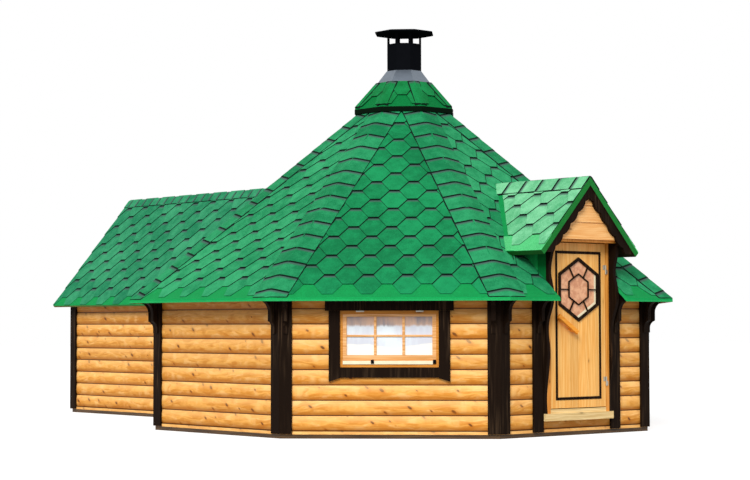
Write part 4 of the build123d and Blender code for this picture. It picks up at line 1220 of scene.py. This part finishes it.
def bar(system, across, up, out, finish, round_edge=0.0015):
    """A bar with rounded edges in a system of axes. Each of its three stretches has two ends."""
    low, high = (Vector(corner) for corner in zip(across, up, out))
    middle, size = (low + high) / 2, high - low
    work = bmesh.new()
    bmesh.ops.create_cube(work, size=1.0)
    for vertex in work.verts:
        vertex.co = middle + Vector(a * b for a, b in zip(vertex.co, size))
    bmesh.ops.bevel(work, geom=work.edges[:], offset=round_edge, segments=2, profile=0.5,
                    affect="EDGES")
    work.transform(system)
    bmesh.ops.recalc_face_normals(work, faces=work.faces[:])
    mesh = bpy.data.meshes.new("bar")
    work.to_mesh(mesh)
    work.free()
    mesh.materials.append(finish)
    return mesh


# %% Window parts
WINDOWS = (-135, -45)
BAR_UPRIGHT = 0.023
BAR_LEVEL = 0.017
PANE_SHARE = 0.123
GLASS_WIDE = 0.739
BED = 0.0003
LEVEL_BED = 0.0004
UPRIGHT_BACK, LEVEL_BACK = 0.003, 0.006
DRIP_ACROSS, DRIP_UP, DRIP_OUT = (-0.404, 0.376), (0.640, 0.672), (BED, 0.009)
LATCHES, LATCH_WIDE = (-0.146, 0.390), 0.028
LATCH_UP, LATCH_OUT, LATCH_ROUND = (0.646, 0.680), (0.0005, 0.016), 0.004
PLATES = ((-0.289, -0.218), (0.230, 0.296))
PLATE_UP, PLATE_OUT, PLATE_ROUND = (1.092, 1.106), (BED, 0.003), 0.0008


def face_of(node, degrees):
    """How far the outermost face of a node lies out in one direction."""
    outward = heading(degrees)
    return max(vertex.co.dot(outward) for vertex in frame["nodes"][node].data.vertices)


def on(face, stretch):
    """A stretch outwards that is counted from a face."""
    return face + stretch[0], face + stretch[1]


glass_low, glass_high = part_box("window_glass")
up = glass_low.z + HAIR, glass_high.z - HAIR
pine, black = finishes["sash_pine"], finishes["soot_metal"]
bars, metal = [], []
for turn in WINDOWS:
    wall = wall_system(turn, 0.0)
    glass, sash, casing = (face_of(node, turn)
                           for node in ("window_glass", "window_sashes", "window_frames"))
    bars += [bar(wall, about(middle, BAR_UPRIGHT), up, (glass + BED, sash - UPRIGHT_BACK), pine)
             for middle in (-PANE_SHARE, PANE_SHARE)]
    bars.append(bar(wall, about(0, GLASS_WIDE), about(sum(up) / 2, BAR_LEVEL),
                    (glass + LEVEL_BED, sash - LEVEL_BACK), pine))
    bars.append(bar(wall, DRIP_ACROSS, DRIP_UP, on(casing, DRIP_OUT), finishes["pale_strip"]))
    metal += [bar(wall, about(middle, LATCH_WIDE), LATCH_UP, on(casing, LATCH_OUT), black,
                  LATCH_ROUND) for middle in LATCHES]
    metal += [bar(wall, plate, PLATE_UP, on(casing, PLATE_OUT), finishes["zinc"], PLATE_ROUND)
              for plate in PLATES]
join("window_bars", bars)
join("window_fittings", metal)

# %% [markdown]
# ## The chimney's lid
#
# The photographed lid is a thin eight-sided plate on eight bent strips of sheet metal, with more open
# height below it than a stout lid would leave. It is drawn as rings of eight corners from its
# crown to its underside, and stands for the plain CAD lid and its stubs.

# %% Lid and strips
LID_THICK = 0.015
LID_LIFT = 0.040
LID_CHAMFER = 0.004
LID_CROWN = 0.06
STRIP_WIDE = 0.030
STRIP_THICK = 0.005
STRIP_FOOT = 0.002
STRIP_ROUND = 0.001


def eight_corners(apothem, z):
    """The corners of an eight-sided ring, from its distance to a side and its height."""
    return [heading(HALF_SIDE + 45 * k) * (apothem / math.cos(HALF_TURN)) + UP * z
            for k in range(8)]


lid_low, lid_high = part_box("chimney_lid")
_, stack_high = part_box("chimney_stack")
lid_z = lid_low.z + LID_LIFT
lid = ringed("lid", [eight_corners(LID_CROWN, lid_high.z - HAIR),
                     eight_corners(lid_high.x, lid_z + LID_THICK),
                     eight_corners(lid_high.x, lid_z + LID_CHAMFER),
                     eight_corners(lid_high.x - LID_CHAMFER, lid_z)])
lid.materials.append(black)
lid_parts = [lid]
for k in range(8):
    corner = wall_system(HALF_SIDE + 45 * k, stack_high.x / math.cos(HALF_TURN) - STRIP_THICK)
    lid_parts.append(bar(corner, about(0, STRIP_WIDE), (stack_high.z - STRIP_FOOT, lid_z + HAIR),
                         (-STRIP_THICK, 0.0), black, STRIP_ROUND))
chimney_top = join("chimney_top", lid_parts)
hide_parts("chimney_lid", "chimney_stubs")

# %% [markdown]
# ## Camera, floor and light
#
# The camera stands where the photographer stood, low and in front of the corner between the left
# wall and the door. A pale floor catches a soft shadow, and one wide sun from the left front gives
# the shape its light and shade. The white background is the world's colour for camera rays only, so
# that it doesn't light the hut.

# %% Camera
CAMERA_PLACE = Vector((-12.6544, -14.2422, 0.9928))
CAMERA_YAW, CAMERA_PITCH, CAMERA_ROLL = (math.radians(a) for a in (49.258, 2.465, -0.112))
LENS = 93.107
SENSOR = 36.0
FAR = 500

forward = Vector((math.cos(CAMERA_YAW) * math.cos(CAMERA_PITCH),
                  math.sin(CAMERA_YAW) * math.cos(CAMERA_PITCH), math.sin(CAMERA_PITCH)))
level = Vector((math.sin(CAMERA_YAW), -math.cos(CAMERA_YAW), 0))
steep = level.cross(forward)
right = level * math.cos(CAMERA_ROLL) + steep * math.sin(CAMERA_ROLL)
upright = steep * math.cos(CAMERA_ROLL) - level * math.sin(CAMERA_ROLL)
lens = bpy.data.cameras.new("camera")
lens.sensor_width = SENSOR
lens.lens = LENS
lens.clip_end = FAR
camera = bpy.data.objects.new("camera", lens)
turned = Matrix((right, upright, -forward)).transposed().to_4x4()
camera.matrix_world = Matrix.Translation(CAMERA_PLACE) @ turned
bpy.context.scene.collection.objects.link(camera)
bpy.context.scene.camera = camera
print("camera at", tuple(round(v, 3) for v in CAMERA_PLACE))

# %% Floor
FLOOR_HALF = 60.0
FLOOR_GREY = 0.30
FLOOR_GLOW = 0.80
WHITE = (1, 1, 1, 1)


def direct_view(tree):
    """1 for rays that see a thing directly, in a mirror or through glass."""
    camera_ray, glossy, through = (tree.node("ShaderNodeLightPath", out=out) for out in (0, 3, 6))
    return tree.math("MAXIMUM", camera_ray, tree.math("MAXIMUM", glossy, through))


def stage_floor():
    """A level floor that glows for direct rays only, so that it looks white but keeps a shadow."""
    corners = [(x * FLOOR_HALF, y * FLOOR_HALF, 0) for x, y in ((-1, -1), (1, -1), (1, 1), (-1, 1))]
    mesh = bpy.data.meshes.new("floor")
    mesh.from_pydata(corners, [], [(0, 1, 2, 3)])
    floor = bpy.data.objects.new("floor", mesh)
    bpy.context.scene.collection.objects.link(floor)
    pale = Finish("pale_floor")
    matt = pale.node("ShaderNodeBsdfDiffuse", None, {"Color": (*[FLOOR_GREY] * 3, 1)})
    glow = pale.node("ShaderNodeEmission", None, {"Color": WHITE, "Strength": FLOOR_GLOW})
    both_lit = pale.node("ShaderNodeAddShader", None, {0: matt, 1: glow})
    shown = pale.node("ShaderNodeMixShader", None, {0: direct_view(pale), 1: matt, 2: both_lit})
    pale.node("ShaderNodeOutputMaterial", None, {"Surface": shown})
    mesh.materials.append(pale.material)


stage_floor()
print("floor laid")

# %% Light
WORLD_LIGHT = 0.68
SUN_LIGHT = 3.05
SUN_FROM = Vector((-0.80, -0.58, 0.72))
SUN_WIDE = math.radians(25)

world = bpy.data.worlds.new("studio")
bpy.context.scene.world = world
world.use_nodes = True
sky = Tree(world.node_tree)
world.node_tree.nodes.clear()
seen = direct_view(sky)
strength = seen + (1 - seen) * WORLD_LIGHT
background = sky.node("ShaderNodeBackground", None, {"Color": WHITE, "Strength": strength})
sky.node("ShaderNodeOutputWorld", None, {"Surface": background})

sun = bpy.data.lights.new("soft_sun", "SUN")
sun.energy = SUN_LIGHT
sun.angle = SUN_WIDE
sun_object = bpy.data.objects.new("soft_sun", sun)
sun_object.rotation_euler = SUN_FROM.to_track_quat("Z", "Y").to_euler()
bpy.context.scene.collection.objects.link(sun_object)
bpy.context.scene.view_settings.view_transform = "Standard"
print("light ready")

# %% Remove objects that are in no collection
for spare in [o for o in bpy.data.objects if not o.users_collection]:
    bpy.data.objects.remove(spare)
